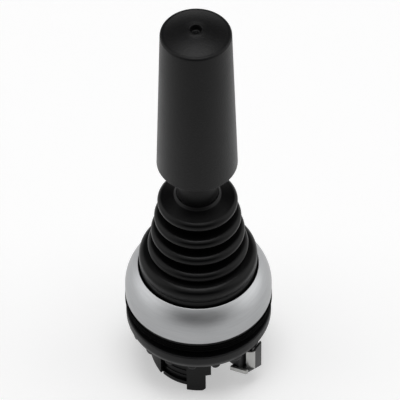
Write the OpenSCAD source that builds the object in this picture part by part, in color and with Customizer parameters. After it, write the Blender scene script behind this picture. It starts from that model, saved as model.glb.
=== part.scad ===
// Panel joystick for a 22.5 mm hole: tapered grip, rubber bellows, metal bezel, fixing ring.
// Millimetres. The origin is the centre of the panel's front face, with +Z up the lever.

/* [Panel and ring nut] */
// Thread diameter of the neck that passes through the panel hole
neck_d = 22; // [21.6:0.1:22.4]
// Gap between the seal and the ring nut, where the panel sits
panel_gap = 2.2; // [1.2:0.1:3]
// Height of the ring nut
nut_h = 3.4; // [2.8:0.1:4]
// Distance that the ring nut's edge lies inside the bezel's edge
nut_inset = 0.1; // [0.05:0.05:0.6]
// Width of the taper at the foot of the ring nut
nut_taper_w = 0.55; // [0.3:0.05:0.9]
// Height of the taper at the foot of the ring nut
nut_taper_h = 1.3; // [0.6:0.1:2]
// Number of grip nubs round the lower edge of the nut
nub_count = 18; // [12:1:24]
// Radius of one half-round nub
nub_r = 0.9; // [0.5:0.1:1.2]

/* [Seal and flange] */
// Distance that the panel seal stands out past the bezel's edge
seal_proud = 0.05; // [0.05:0.05:0.3]
// Thickness of the panel seal
seal_t = 1.5; // [1:0.1:2.5]
// Depth of the grooves round the edge of the seal
seal_groove = 0.25; // [0.1:0.05:0.4]
// Distance that the housing flange's edge lies inside the bezel's edge
flange_inset = 0.25; // [0.1:0.05:0.6]
// Thickness of the housing flange
flange_t = 0.8; // [0.6:0.1:1.5]
// Width of the key that stops the neck turning in the panel
key_w = 3; // [2:0.1:3.4]
// Height that the key stands out of the neck
key_h = 1.1; // [0.6:0.1:1.4]
// Length of the key below the panel face
key_drop = 1.2; // [0.8:0.1:1.2]

/* [Bezel] */
// Width of the metal bezel from its mouth to its outer edge
bezel_w = 2.75; // [2.2:0.05:3.2]
// Height of the metal bezel
bezel_h = 7.9; // [6.5:0.1:9]
// Height of the straight band at the foot of the bezel
bezel_band = 1.8; // [0.8:0.1:2.6]
// Distance from the sleeve's outside to the bezel's mouth
mouth_step = 0.5; // [0.4:0.05:0.7]
// Height of the inner lip over the foot of the bellows
bezel_lip = 0.8; // [0.5:0.1:1.2]

/* [Housing] */
// Wall of the threaded neck
neck_wall = 1.1; // [0.9:0.05:1.2]
// Length of the neck below the panel face
neck_len = 9.5; // [9:0.1:10.5]
// Distance that the sleeve inside the bezel lies outside the neck
sleeve_step = 0.6; // [0.4:0.05:0.7]
// Wall of that sleeve
sleeve_wall = 1.3; // [1.1:0.05:1.4]
// Height of the shoulder that the pivot carrier rests on
carrier_z = 0.8; // [0.5:0.1:1]
// Thickness of the ledge between gate plate and rear guide
ledge_t = 0.8; // [0.6:0.1:1.2]
// Inner diameter of the ledge
ledge_d = 17.9; // [17.4:0.1:18.2]
// Bore below the ledge that the rear guide fits in
tail_bore_d = 18.4; // [18.3:0.1:18.7]

/* [Housing legs] */
// Angle where each leg starts, measured from +X
leg_start = 192; // [188:1:196]
// Angle that each leg covers
leg_span = 78; // [74:1:82]
// Angle that the tall wall at the start of each leg covers
leg_wall_span = 29; // [24:1:32]
// Height of the legs' foot rim below the panel face
leg_z = 16.8; // [16:0.1:18]
// Outer diameter over the foot rims
rim_d = 19.5; // [19.2:0.1:20]
// Height of the foot rim
rim_h = 1; // [0.7:0.1:1.4]
// Depth of the pocket above the rim
pocket = 0.5; // [0.3:0.05:0.6]
// Outer diameter over the tall walls
leg_wall_d = 20.8; // [20.2:0.1:21.4]
// Slope of the tall wall's lower edge, in degrees
leg_slope = 25; // [15:1:30]
// Inner diameter between the legs
leg_bore_d = 17; // [16.4:0.1:17.4]
// Outer diameter over the two bottom tabs
tab_d = 21.5; // [21:0.1:21.5]
// Width of a bottom tab
tab_w = 3.9; // [3:0.1:4.6]
// Sideways shift of the tab from the centre line
tab_shift = 0.65; // [0:0.05:1]
// Length that the tab stands past the foot rim
tab_drop = 0.3; // [0.1:0.05:0.5]
// Width of the shoulder beside the tab
shoulder_w = 1.1; // [0.6:0.1:1.6]
// Height of that shoulder
shoulder_h = 3.2; // [2:0.1:4]

/* [Clip] */
// Thickness of the clip's sheet metal
clip_t = 0.5; // [0.3:0.05:0.7]
// Step from the clip's outer wall down to its front wall
clip_step = 0.3; // [0.2:0.1:0.6]
// Distance of the clip's foot below the rear guide
clip_drop = 1.4; // [1.2:0.1:2.5]
// Distance that the clip's outer corner lies inside the ring nut's edge
clip_inset = 0.45; // [0.3:0.05:0.9]
// Width of the clip's front wall
clip_front_w = 1.8; // [1.2:0.1:2]
// Width of the clip's outer wall
clip_side_w = 2.9; // [2:0.1:3.2]
// Distance of the foot's inner edge from the axis
clip_foot_r = 10.3; // [9.8:0.1:10.8]
// Width of the foot to each side of the clip's direction
clip_foot_w = 1.6; // [1.2:0.1:2]
// Width of the clip's holder in front of the clip's own direction
holder_front = 0.9; // [0.6:0.1:1.2]
// Angle of the clip round the housing, measured from +X
clip_turn = -45; // [-60:1:-38]

/* [Gimbal] */
// Height of the tilt centre above the panel face
pivot_z = 4; // [3.8:0.1:4.4]
// Play round the gimbal ring inside the pivot carrier
gimbal_play = 0.5; // [0.4:0.05:0.8]
// Wall of the gimbal ring
gimbal_wall = 2.9; // [2.6:0.05:3]
// Height of the gimbal ring
gimbal_h = 3.4; // [3:0.1:3.5]
// Diameter of the trunnion pins and the cross pin
pin_d = 2; // [1.6:0.1:2.2]
// Wall of the bearing bushes
bush_wall = 0.6; // [0.4:0.05:0.8]
// Wall of the pivot carrier
carrier_wall = 1.35; // [1.2:0.05:1.45]
// Thickness of the carrier's top flange, which seats the return spring
carrier_top_t = 1; // [0.7:0.1:1.2]
// Width of the carrier's top flange inside its wall
carrier_seat_w = 2.6; // [2.4:0.1:2.9]

/* [Lever] */
// Diameter of the lever shaft below the spring stop
shaft_d = 6.6; // [6.2:0.1:6.8]
// Diameter of the lever shaft inside the sleeve
stem_d = 6; // [5.4:0.1:6]
// Diameter of the lever's threaded top end
thread_d = 5; // [4:0.1:5.2]
// Play round the hub that holds the cross pin, inside the gimbal ring
hub_play = 1.1; // [1:0.05:1.3]
// Height of the hub above the tilt centre
hub_up = 3.5; // [2.6:0.1:4]
// Depth of the hub below the tilt centre
hub_down = 3; // [2.2:0.1:3.4]
// Drop from the tilt centre to the rocker plate
rocker_drop = 4.4; // [4.3:0.05:4.7]
// Thickness of the rocker plate
rocker_t = 1.4; // [1:0.1:1.5]
// Length that each rocker arm reaches past its plunger's axis
rocker_over = 0.7; // [0.5:0.1:0.8]
// Width of each rocker arm
rocker_w = 3; // [2.4:0.1:3.2]
// Diameter of the tail pin that moves in the gate
tail_d = 3.2; // [2.8:0.1:3.4]
// Drop from the tilt centre to the end of the tail pin
tail_drop = 12; // [11.9:0.05:12.1]
// Thickness of the flanged spring stop
stop_t = 1.2; // [0.8:0.1:1.6]
// Diameter of the spring stop
stop_d = 9.2; // [9:0.1:9.6]
// Height of the spring stop's lower face above the panel face
stop_z = 22.5; // [22:0.1:23]
// Diameter of the sleeve that shows under the grip
collar_d = 8.3; // [7.8:0.1:8.6]

/* [Grip] */
// Height of the grip's lower edge above the top of the bezel
grip_rise = 30.2; // [29:0.1:32]
// Length of the grip
grip_len = 36; // [33:0.5:42]
// Diameter of the grip at its lower edge
grip_low_d = 16; // [14:0.1:18]
// Diameter of the grip at its top
grip_top_d = 13.9; // [12:0.1:16]
// Radius of the rounded top edge
grip_edge_r = 0.6; // [0.3:0.1:1.2]
// Depth that the sleeve reaches into the grip
collar_seat = 4; // [3:0.1:5]
// Outer diameter of the threaded insert
insert_d = 8; // [7:0.1:8.2]
// Length of the threaded insert
insert_len = 14; // [10:0.5:16]
// Diameter of the moulding dimple in the top
dimple_d = 2.6; // [2:0.1:3.4]
// Depth of the moulding dimple
dimple_h = 0.8; // [0.5:0.1:1.2]

/* [Bellows] */
// Diameter of the top fold
top_fold_d = 16; // [15:0.1:16.6]
// Distance that the lowest disc fold lies inside the base dome
low_fold_step = 1.8; // [1.4:0.1:2.2]
// Number of disc folds, with the top one
fold_count = 4; // [3:1:4]
// Height from one disc fold to the next
fold_pitch = 4.15; // [4:0.05:4.2]
// Extra height under the top fold
top_fold_extra = 0.35; // [0:0.05:0.4]
// Height from the base dome's widest line to the lowest disc fold
base_gap = 3.3; // [3.1:0.1:3.6]
// Play round the base dome inside the bezel's mouth
base_play = 0.2; // [0.1:0.05:0.3]
// Height of the base dome's widest line above the bezel
base_rise = 2.9; // [2.4:0.1:3.2]
// Rounding radius of the disc folds
crest_r = 1.15; // [1:0.05:1.2]
// Depth of the grooves between the folds
groove = 2.6; // [2.2:0.1:2.8]
// Wall of the bellows
boot_wall = 0.7; // [0.5:0.05:0.8]
// Thickness of the bellows' foot under the bezel lip
foot_t = 0.7; // [0.5:0.05:0.9]
// Height of the sloping collar over the top fold
boot_neck_h = 3.6; // [3:0.1:4]
// Length of the bellows' neck that grips the sleeve
boot_grip_h = 2; // [1.2:0.1:2.4]
// Height of the hoop inside the foot of the bellows
hoop_h = 1.4; // [1:0.1:1.8]
// Thickness of that hoop
hoop_t = 0.6; // [0.4:0.1:0.8]

/* [Plungers and plates] */
// Radius of the circle that the plungers stand on
plunger_ring_r = 7; // [6.9:0.05:7.1]
// Diameter of a plunger's stem
plunger_d = 2.2; // [1.8:0.1:2.3]
// Diameter of a plunger's head
head_d = 3.2; // [3:0.1:3.4]
// Thickness of a plunger's head
head_t = 0.6; // [0.5:0.1:0.8]
// Idle gap between rocker plate and plunger at rest
idle_gap = 0.65; // [0.6:0.05:0.8]
// Length that a plunger stands out of the rear guide
plunger_out = 1.2; // [0.8:0.1:1.4]
// Thickness of the gate plate
gate_t = 1.2; // [1:0.1:1.6]
// Width of the gate's square window
gate_w = 10; // [9.9:0.1:10.1]
// Corner radius of the gate's window
gate_corner = 2; // [1.6:0.1:2.4]
// Thickness of the rear guide
guide_t = 2.5; // [2:0.1:2.8]
// Height of the guide's boss between the legs
guide_boss_h = 0.6; // [0.4:0.1:1]
// Radius of the circle that the two screws stand on
screw_ring_r = 7.2; // [7.1:0.05:7.25]
// Shank diameter of the screws
screw_d = 1.2; // [1:0.1:1.3]
// Head diameter of the screws
screw_head_d = 2; // [1.8:0.1:2.1]
// Head height of the screws
screw_head_h = 0.9; // [0.6:0.1:1.2]

/* [Springs] */
// Wire diameter of the return spring
return_wire = 0.9; // [0.6:0.1:1]
// Turns of the return spring
return_turns = 6; // [4:1:7]
// Wire diameter of the plunger springs
small_wire = 0.25; // [0.2:0.05:0.3]
// Turns of each plunger spring
small_turns = 3; // [2:1:4]

/* [Hidden] */
$fn = 72;

// Radial clearance of a running fit, and of a part that is only seated or pressed in
run_clear = 0.05;
seat_clear = 0.02;
// Play of soft and loose neighbours
soft_clear = 0.3;
// Small overlap that joins two forms of one moulding
join = 0.2;

neck_r = neck_d / 2;
neck_in_r = neck_r - neck_wall;
sleeve_r = neck_r + sleeve_step;
sleeve_in_r = sleeve_r - sleeve_wall;
mouth_r = sleeve_r + mouth_step;
bezel_r = mouth_r + bezel_w;
seal_r = bezel_r + seal_proud;
flange_r = bezel_r - flange_inset;
nut_r = bezel_r - nut_inset;
nut_low_r = nut_r - nut_taper_w;
flange_z = seal_t;
bezel_z = flange_z + flange_t;
bezel_top = bezel_z + bezel_h;
foot_z = bezel_top - bezel_lip - foot_t - run_clear;
sleeve_top = foot_z - run_clear;
foot_r = mouth_r + 0.35;
foot_in_r = sleeve_in_r + 0.15;
nut_top = -panel_gap;
nut_low = nut_top - nut_h;
clip_top = nut_low - nub_r - soft_clear;

pin_r = pin_d / 2;
carrier_r = sleeve_in_r - run_clear;
carrier_bore_r = carrier_r - carrier_wall;
carrier_hole_r = carrier_bore_r - carrier_seat_w;
gimbal_r = carrier_bore_r - gimbal_play;
gimbal_bore_r = gimbal_r - gimbal_wall;
hub_r = gimbal_bore_r - hub_play;
rocker_reach = plunger_ring_r + rocker_over;
carrier_top = sleeve_top + 0.8;
bush_r = pin_r + run_clear + bush_wall;
bush_end = sqrt(carrier_r * carrier_r - bush_r * bush_r);

rocker_z = pivot_z - rocker_drop;
rocker_low = rocker_z - rocker_t;
tail_r = tail_d / 2;
tail_z = pivot_z - tail_drop;
gate_low = -neck_len + ledge_t + 0.9;
gate_z = gate_low + gate_t;
guide_top = gate_low - ledge_t;
guide_low = guide_top - guide_t;
guide_r = tail_bore_d / 2 - run_clear;
plunger_r = plunger_d / 2;
clip_foot_z = guide_low - clip_drop;
// Corner of the clip's walls, and their directions in the clip's own frame
clip_reach = nut_r - clip_inset;
clip_corner = [clip_reach, 1.4];
clip_side_turn = 106;
clip_front_turn = 210;
plunger_tip = rocker_low - idle_gap;
plunger_end = guide_low - plunger_out;
dome_r = 0.75 * head_d;
dome_h = dome_r - sqrt(dome_r * dome_r - head_d * head_d / 4);
head_low = plunger_tip - dome_h - head_t;

grip_z = bezel_top + grip_rise;
grip_top = grip_z + grip_len;
grip_low_r = grip_low_d / 2;
grip_top_r = grip_top_d / 2;
collar_r = collar_d / 2;
collar_z = stop_z + stop_t;
collar_top = grip_z + collar_seat;
insert_top = collar_top + insert_len;
thread_top = insert_top - 1;

base_z = bezel_top + base_rise;
base_r = mouth_r - base_play;
low_fold_r = base_r - low_fold_step;
top_fold_z = base_z + base_gap + (fold_count - 1) * fold_pitch + top_fold_extra;
boot_top = top_fold_z + boot_neck_h;

leg_top = -neck_len + join;
leg_bore_r = leg_bore_d / 2;
rim_r = rim_d / 2;
guide_boss_r = leg_bore_r - run_clear * 2;
leg_in_r = tail_bore_d / 2 + 0.1;
shelf_z = guide_low + guide_boss_h - run_clear;
leg_foot = -leg_z;

// ---- point and shape helpers ----

// Points on an arc in the radius-height plane
function arc(r, z, radius, from, to, steps = 6) =
    [for (k = [0:steps]) let (a = from + (to - from) * k / steps) [r + radius * cos(a), z + radius * sin(a)]];

// Centre of one ring of a coil, whose radius and height run linearly along the wire
function coil_ring(k, steps, low_r, top_r, low_z, top_z, turns) =
    let (t = k / steps, a = 360 * turns * t, r = low_r + (top_r - low_r) * t)
    [r, a, low_z + (top_z - low_z) * t];

// A round wire coiled about Z, straight or conical, with closed ends
module coil(low_r, top_r, low_z, top_z, turns, wire, per_turn = 14, sides = 6) {
    steps = turns * per_turn;
    rings = [for (k = [0:steps]) coil_ring(k, steps, low_r, top_r, low_z, top_z, turns)];
    points = [for (ring = rings) for (j = [0:sides - 1])
        let (b = 360 * j / sides, r = ring[0] + wire / 2 * cos(b))
        [r * cos(ring[1]), r * sin(ring[1]), ring[2] + wire / 2 * sin(b)]];
    skin = [for (k = [0:steps - 1]) for (j = [0:sides - 1])
        let (n = (j + 1) % sides)
        [k * sides + j, k * sides + n, (k + 1) * sides + n, (k + 1) * sides + j]];
    first = [[for (j = [sides - 1:-1:0]) j]];
    last = [[for (j = [0:sides - 1]) steps * sides + j]];
    polyhedron(points, concat(skin, first, last));
}

// A ring with a rectangular section
module tube(outer_r, inner_r, low_z, height) {
    translate([0, 0, low_z]) difference() {
        cylinder(r = outer_r, h = height);
        translate([0, 0, -1]) cylinder(r = inner_r, h = height + 2);
    }
}

// A round bar that lies along the X axis, from one radius to another
module bar_x(r, from, to) {
    translate([from, 0, 0]) rotate([0, 90, 0]) cylinder(r = r, h = to - from);
}

// Places its children at the four plunger stations
module plunger_place(turn) {
    rotate([0, 0, turn]) translate([plunger_ring_r, 0, 0]) children();
}

// ---- bezel, seal and ring nut ----

// The convex outside is one arc, tangent to the straight band and ending at the mouth
module bezel_ring() {
    rise = bezel_h - bezel_band;
    run = bezel_r - mouth_r;
    crown_r = (run * run + rise * rise) / (2 * run);
    crown_end = asin(rise / crown_r);
    color([0.72, 0.73, 0.75]) rotate_extrude() polygon(concat(
        [[sleeve_r + run_clear, bezel_z], [bezel_r - 0.2, bezel_z], [bezel_r, bezel_z + 0.2]],
        arc(bezel_r - crown_r, bezel_z + bezel_band, crown_r, 0, crown_end, 10),
        [[mouth_r, bezel_top - bezel_lip], [foot_r + run_clear, bezel_top - bezel_lip],
        [foot_r + run_clear, sleeve_top], [sleeve_r + run_clear, sleeve_top]]));
}

// Flat gasket with two grooves round its edge and a notch for the neck's key
module panel_seal() {
    step = seal_t / 5;
    color([0.05, 0.05, 0.055]) difference() {
        rotate_extrude() polygon([[neck_r + run_clear, 0], [seal_r, 0], [seal_r, step],
            [seal_r - seal_groove, step * 1.5], [seal_r, step * 2], [seal_r, step * 3],
            [seal_r - seal_groove, step * 3.5], [seal_r, step * 4], [seal_r, seal_t],
            [neck_r + run_clear, seal_t]]);
        key_block(run_clear * 2, 1);
    }
}

// The key on the back of the neck, grown by a margin when it cuts its notch
module key_block(margin = 0, rise = 0) {
    width = key_w + 2 * margin;
    reach = neck_r + key_h + margin;
    root = neck_r - neck_wall / 2;
    translate([-width / 2, root, -key_drop - rise])
        cube([width, reach - root, key_drop + seal_t + 2 * rise]);
}

// Ring nut: straight band, tapered foot and half-round grip nubs
module fixing_ring() {
    color([0.15, 0.155, 0.165]) {
        rotate_extrude() polygon([[neck_r + run_clear, nut_top], [neck_r + run_clear, nut_low],
            [nut_low_r, nut_low], [nut_r, nut_low + nut_taper_h], [nut_r, nut_top - 0.25],
            [nut_r - 0.25, nut_top]]);
        for (k = [0:nub_count - 1])
            rotate([0, 0, 264 + k * 360 / nub_count]) translate([0, 0, nut_low + 0.05])
                bar_x(nub_r, nut_low_r - 1, nut_low_r);
    }
}

// ---- housing ----

// Revolved body: flange, sleeve inside the bezel, neck, ledge and tail bore
module housing_core() {
    ledge_r = ledge_d / 2;
    tail_r2 = tail_bore_d / 2;
    chamfer = 0.2;
    rotate_extrude() polygon([[tail_r2, -neck_len], [neck_r - chamfer, -neck_len],
        [neck_r, -neck_len + chamfer], [neck_r, flange_z], [flange_r, flange_z],
        [flange_r, bezel_z], [sleeve_r, bezel_z], [sleeve_r, sleeve_top],
        [sleeve_in_r, sleeve_top], [sleeve_in_r, carrier_z], [neck_in_r, carrier_z],
        [neck_in_r, gate_low], [ledge_r, gate_low], [ledge_r, guide_top],
        [tail_r2, guide_top]]);
}

// One leg under the neck: a curved wall, tall and smooth at its start, then cut back to a
// pocket with two fine ribs above the foot rim
module leg() {
    outer = leg_wall_d / 2;
    low = leg_foot + 0.8;
    difference() {
        rotate([0, 0, leg_start]) rotate_extrude(angle = leg_span) polygon([
            [leg_in_r, leg_top], [outer, leg_top], [outer, leg_foot],
            [leg_bore_r, leg_foot], [leg_bore_r, shelf_z], [leg_in_r, shelf_z]]);
        rotate([0, 0, leg_start + leg_wall_span])
            rotate_extrude(angle = leg_span - leg_wall_span + 5) leg_pocket();
        rotate([0, 0, leg_start + leg_wall_span]) translate([0, 0, low])
            rotate([90, 0, 90]) linear_extrude(2 * outer) polygon([[0, 0],
                [-outer, outer * tan(leg_slope)], [-outer, -outer], [0, -outer]]);
    }
}

// What is cut away outside the pocket, the ribs and the foot rim, in the radius-height plane
module leg_pocket() {
    pocket_r = rim_r - pocket;
    pocket_top = guide_low - 0.6;
    rib_h = 0.35;
    rib_gap = 1.5;
    rib_r = pocket_r + 0.15;
    far = leg_wall_d / 2 + 2;
    ribs = [for (k = [1:2]) let (z = pocket_top - k * rib_gap) each
        [[pocket_r, z + rib_h], [rib_r, z + rib_h], [rib_r, z], [pocket_r, z]]];
    polygon(concat(
        [[far, leg_top + 1], [rim_r + 0.4, leg_top + 1], [rim_r + 0.4, leg_top],
        [rim_r + 0.2, guide_low], [pocket_r, pocket_top]],
        ribs,
        [[pocket_r, leg_foot + rim_h], [rim_r, leg_foot + rim_h], [rim_r, leg_foot - 1],
        [far, leg_foot - 1]]));
}

// Bottom tab with one bevelled corner and a short shoulder beside it
module leg_tab() {
    right = tab_w / 2 - tab_shift;
    left = -tab_w / 2 - tab_shift;
    low = leg_foot - tab_drop;
    bevel = 0.6;
    intersection() {
        tube(tab_d / 2, leg_in_r, low - 1, neck_len + leg_z);
        rotate([90, 0, 0]) linear_extrude(tab_d) polygon([[left, leg_top], [left, low],
            [right - bevel, low], [right, low + bevel], [right, leg_top - shoulder_h],
            [right + shoulder_w, leg_top - shoulder_h], [right + shoulder_w, leg_top]]);
    }
}

module housing_body() {
    color([0.1, 0.1, 0.105]) {
        housing_core();
        key_block();
        for (turn = [0, 180]) rotate([0, 0, turn]) {
            leg();
            leg_tab();
        }
    }
}

// ---- clip ----

// Dark holder that hooks under the neck, sits on the clip's foot and fills the clip's corner
module clip_holder() {
    low = clip_foot_z + clip_t + seat_clear;
    step = -neck_len - run_clear;
    inner = guide_r + soft_clear;
    back = clip_t + seat_clear;
    front_end = clip_along(clip_front_turn, clip_front_w) - back * clip_way(clip_front_turn + 90);
    bend = clip_corner - back * [1.35, -0.45];
    side_end = clip_along(clip_side_turn, clip_side_w) + back * clip_way(clip_side_turn + 90);
    color([0.12, 0.12, 0.125]) rotate([0, 0, clip_turn]) intersection() {
        rotate_extrude() polygon([[inner, low], [clip_reach + 1, low], [clip_reach + 1, clip_top],
            [neck_r + run_clear, clip_top], [neck_r + run_clear, step], [inner, step]]);
        translate([0, 0, low - 1]) linear_extrude(clip_top - low + 2) polygon([[0, -holder_front],
            [front_end[0], -holder_front], front_end, bend, side_end, [0, side_end[1]]]);
    }
}

// Unit vector at an angle, and the point at some distance along a wall from the clip's corner
function clip_way(turn) = [cos(turn), sin(turn)];
function clip_along(turn, distance) = clip_corner + distance * clip_way(turn);

// Bent sheet metal: a foot under the holder, and two walls that meet at its outer corner
module locking_clip() {
    color([0.78, 0.78, 0.77]) rotate([0, 0, clip_turn]) translate([0, 0, clip_foot_z]) {
        linear_extrude(clip_t) clip_foot();
        linear_extrude(clip_top - clip_foot_z) translate(clip_corner)
            rotate(clip_side_turn) square([clip_side_w, clip_t]);
        linear_extrude(clip_top - clip_step - clip_foot_z) translate(clip_corner)
            rotate(clip_front_turn) translate([0, -clip_t]) square([clip_front_w, clip_t]);
    }
}

// Outline of the clip's foot plate in the clip's own frame, with +X pointing outwards
module clip_foot() {
    side_end = clip_along(clip_side_turn, clip_side_w);
    front = -clip_foot_w;
    polygon([[clip_foot_r, front], [clip_reach - clip_t, front + 1], clip_corner, side_end,
        [clip_foot_r, clip_foot_w * 2]]);
}

// ---- bellows ----

// Radius and height of disc fold i, counted from the lowest
function fold_r(i) = low_fold_r + (top_fold_d / 2 - low_fold_r) * i / (fold_count - 1);
function fold_z(i) = base_z + base_gap + i * fold_pitch + (i == fold_count - 1 ? top_fold_extra : 0);
// Radius of the groove's round bottom under fold i
groove_r = crest_r - boot_wall;
function groove_centre(i, below_z) = [fold_r(i) - groove + groove_r, (fold_z(i) + below_z) / 2];
function below_z(i) = i == 0 ? base_z + 0.8 : fold_z(i - 1);

// Outside and inside of the bellows: the same arc centres, with radii one wall apart
function boot_skin(shift) = concat(
    arc(base_r - 1.6, base_z, 1.6 - shift, 0, 72, 6),
    [for (i = [0:fold_count - 2]) for (p = concat(
        arc(groove_centre(i, below_z(i))[0], groove_centre(i, below_z(i))[1], groove_r + shift, 250, 110, 4),
        arc(fold_r(i) - crest_r, fold_z(i), crest_r - shift, -70, 70, 6))) p],
    arc(groove_centre(fold_count - 1, below_z(fold_count - 1))[0],
        groove_centre(fold_count - 1, below_z(fold_count - 1))[1], groove_r + shift, 250, 110, 4),
    arc(fold_r(fold_count - 1) - crest_r, fold_z(fold_count - 1), crest_r - shift, -70, 62, 6));

function reversed(list) = [for (k = [len(list) - 1:-1:0]) list[k]];

module bellows() {
    neck = collar_r + run_clear;
    step_z = bezel_top + 1.4;
    wall_r = base_r - 0.15;
    color([0.03, 0.03, 0.032]) rotate_extrude() polygon(concat(
        [[foot_r, foot_z], [foot_r, foot_z + foot_t], [wall_r, foot_z + foot_t],
        [wall_r, step_z], [base_r, step_z + 0.15]],
        boot_skin(0),
        [[neck + 0.9, boot_top - 0.4], [neck + 0.6, boot_top], [neck, boot_top],
        [neck, boot_top - boot_grip_h]],
        reversed(boot_skin(boot_wall)),
        [[base_r - boot_wall, foot_z + foot_t], [foot_in_r, foot_z + foot_t],
        [foot_in_r, foot_z]]));
}

// Hoop that presses the wall of the bellows out against the bezel
module boot_ring() {
    outer = base_r - boot_wall - run_clear;
    color([0.5, 0.5, 0.52]) tube(outer, outer - hoop_t, foot_z + foot_t + run_clear, hoop_h);
}

// ---- gimbal ----

// Ring in the housing sleeve with the two bearing bores and a flange that seats the spring
module pivot_carrier() {
    bevel = 0.8;
    low = carrier_z + run_clear;
    flange_low = carrier_top - carrier_top_t;
    color([0.2, 0.2, 0.22]) difference() {
        rotate_extrude() polygon([[carrier_bore_r + bevel, low], [carrier_r, low],
            [carrier_r, carrier_top], [carrier_hole_r, carrier_top], [carrier_hole_r, flange_low],
            [carrier_bore_r, flange_low], [carrier_bore_r, low + bevel]]);
        translate([0, 0, pivot_z]) bar_x(bush_r + seat_clear, -carrier_r - 1, carrier_r + 1);
    }
}

module bearing_bushes() {
    color([0.72, 0.55, 0.3]) translate([0, 0, pivot_z]) for (turn = [0, 180])
        rotate([0, 0, turn]) difference() {
            bar_x(bush_r, carrier_bore_r + run_clear, bush_end);
            bar_x(pin_r + run_clear, carrier_bore_r - 1, carrier_r + 1);
        }
}

module gimbal_ring() {
    half = gimbal_h / 2;
    chamfer = 0.35;
    color([0.62, 0.63, 0.65]) translate([0, 0, pivot_z]) difference() {
        rotate_extrude() polygon([[gimbal_bore_r, -half], [gimbal_r - chamfer, -half],
            [gimbal_r, -half + chamfer], [gimbal_r, half - chamfer], [gimbal_r - chamfer, half],
            [gimbal_bore_r, half]]);
        bar_x(pin_r + seat_clear, -gimbal_r - 1, gimbal_r + 1);
        rotate([0, 0, 90]) bar_x(pin_r + run_clear, -gimbal_r - 1, gimbal_r + 1);
    }
}

module trunnion_pins() {
    color([0.75, 0.75, 0.76]) translate([0, 0, pivot_z]) for (turn = [0, 180])
        rotate([0, 0, turn]) bar_x(pin_r, gimbal_bore_r + 0.2, bush_end);
}

module cross_pin() {
    color([0.75, 0.75, 0.76]) translate([0, 0, pivot_z]) rotate([0, 0, 90])
        bar_x(pin_r, -gimbal_r + 0.1, gimbal_r - 0.1);
}

// ---- lever ----

// Turned steel lever: threaded end, stem, shaft, hub with the pin bore, neck and tail pin
module lever_shaft() {
    neck = tail_r + 0.6;
    clip_top = rocker_low - seat_clear;
    clip_low = clip_top - 0.6;
    color([0.7, 0.7, 0.71]) difference() {
        rotate_extrude() polygon([[0, tail_z], [tail_r - 0.3, tail_z], [tail_r, tail_z + 0.3],
            [tail_r, clip_low], [tail_r - 0.3, clip_low], [tail_r - 0.3, clip_top],
            [tail_r, clip_top], [tail_r, rocker_z], [neck, rocker_z],
            [neck, pivot_z - hub_down - 0.3], [hub_r - 0.6, pivot_z - hub_down],
            [hub_r, pivot_z - hub_down + 0.6], [hub_r, pivot_z + hub_up - 0.5],
            [hub_r - 0.5, pivot_z + hub_up], [shaft_d / 2, pivot_z + hub_up],
            [shaft_d / 2, stop_z], [stem_d / 2, stop_z], [stem_d / 2, collar_top],
            [thread_d / 2, collar_top], [thread_d / 2, thread_top - 0.5],
            [thread_d / 2 - 0.5, thread_top], [0, thread_top]]);
        translate([0, 0, pivot_z]) rotate([0, 0, 90])
            bar_x(pin_r + seat_clear, -2 * hub_r, 2 * hub_r);
    }
}

// Plate with four round-ended arms, one over each plunger
module rocker_plate() {
    color([0.55, 0.56, 0.58]) translate([0, 0, rocker_low]) difference() {
        union() {
            cylinder(r = tail_r + 1.6, h = rocker_t);
            for (turn = [0:90:270]) rotate([0, 0, turn]) {
                translate([0, -rocker_w / 2, 0]) cube([rocker_reach - rocker_w / 2, rocker_w, rocker_t]);
                translate([rocker_reach - rocker_w / 2, 0, 0]) cylinder(d = rocker_w, h = rocker_t);
            }
        }
        translate([0, 0, -1]) cylinder(r = tail_r + seat_clear, h = rocker_t + 2);
    }
}

module shaft_circlip() {
    inner = tail_r - 0.3 + seat_clear;
    thickness = 0.5;
    color([0.3, 0.3, 0.32]) translate([0, 0, rocker_low - 2 * seat_clear - thickness]) difference() {
        cylinder(r = tail_r + 1, h = thickness);
        translate([0, 0, -1]) cylinder(r = inner, h = thickness + 2);
        translate([-0.7, 0, -1]) cube([1.4, tail_r + 2, thickness + 2]);
    }
}

module spring_stop() {
    color([0.6, 0.6, 0.62]) tube(stop_d / 2, stem_d / 2 + run_clear, stop_z, stop_t);
}

// Turned sleeve between spring stop and grip
module collar_sleeve() {
    bore = stem_d / 2 + run_clear;
    edge = 0.3;
    color([0.09, 0.09, 0.095]) rotate_extrude() polygon([[bore, collar_z], [collar_r, collar_z],
        [collar_r, collar_top - edge], [collar_r - edge, collar_top], [bore, collar_top]]);
}

// Brass insert with retaining grooves
module handle_insert() {
    outer = insert_d / 2;
    bore = thread_d / 2 + seat_clear;
    band = insert_len / 5;
    color([0.78, 0.62, 0.32]) rotate_extrude() polygon([[bore, collar_top], [outer, collar_top],
        [outer, collar_top + band], [outer - 0.4, collar_top + band],
        [outer - 0.4, collar_top + 2 * band], [outer, collar_top + 2 * band],
        [outer, collar_top + 3 * band], [outer - 0.4, collar_top + 3 * band],
        [outer - 0.4, collar_top + 4 * band], [outer, collar_top + 4 * band],
        [outer, insert_top], [bore, insert_top]]);
}

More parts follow.
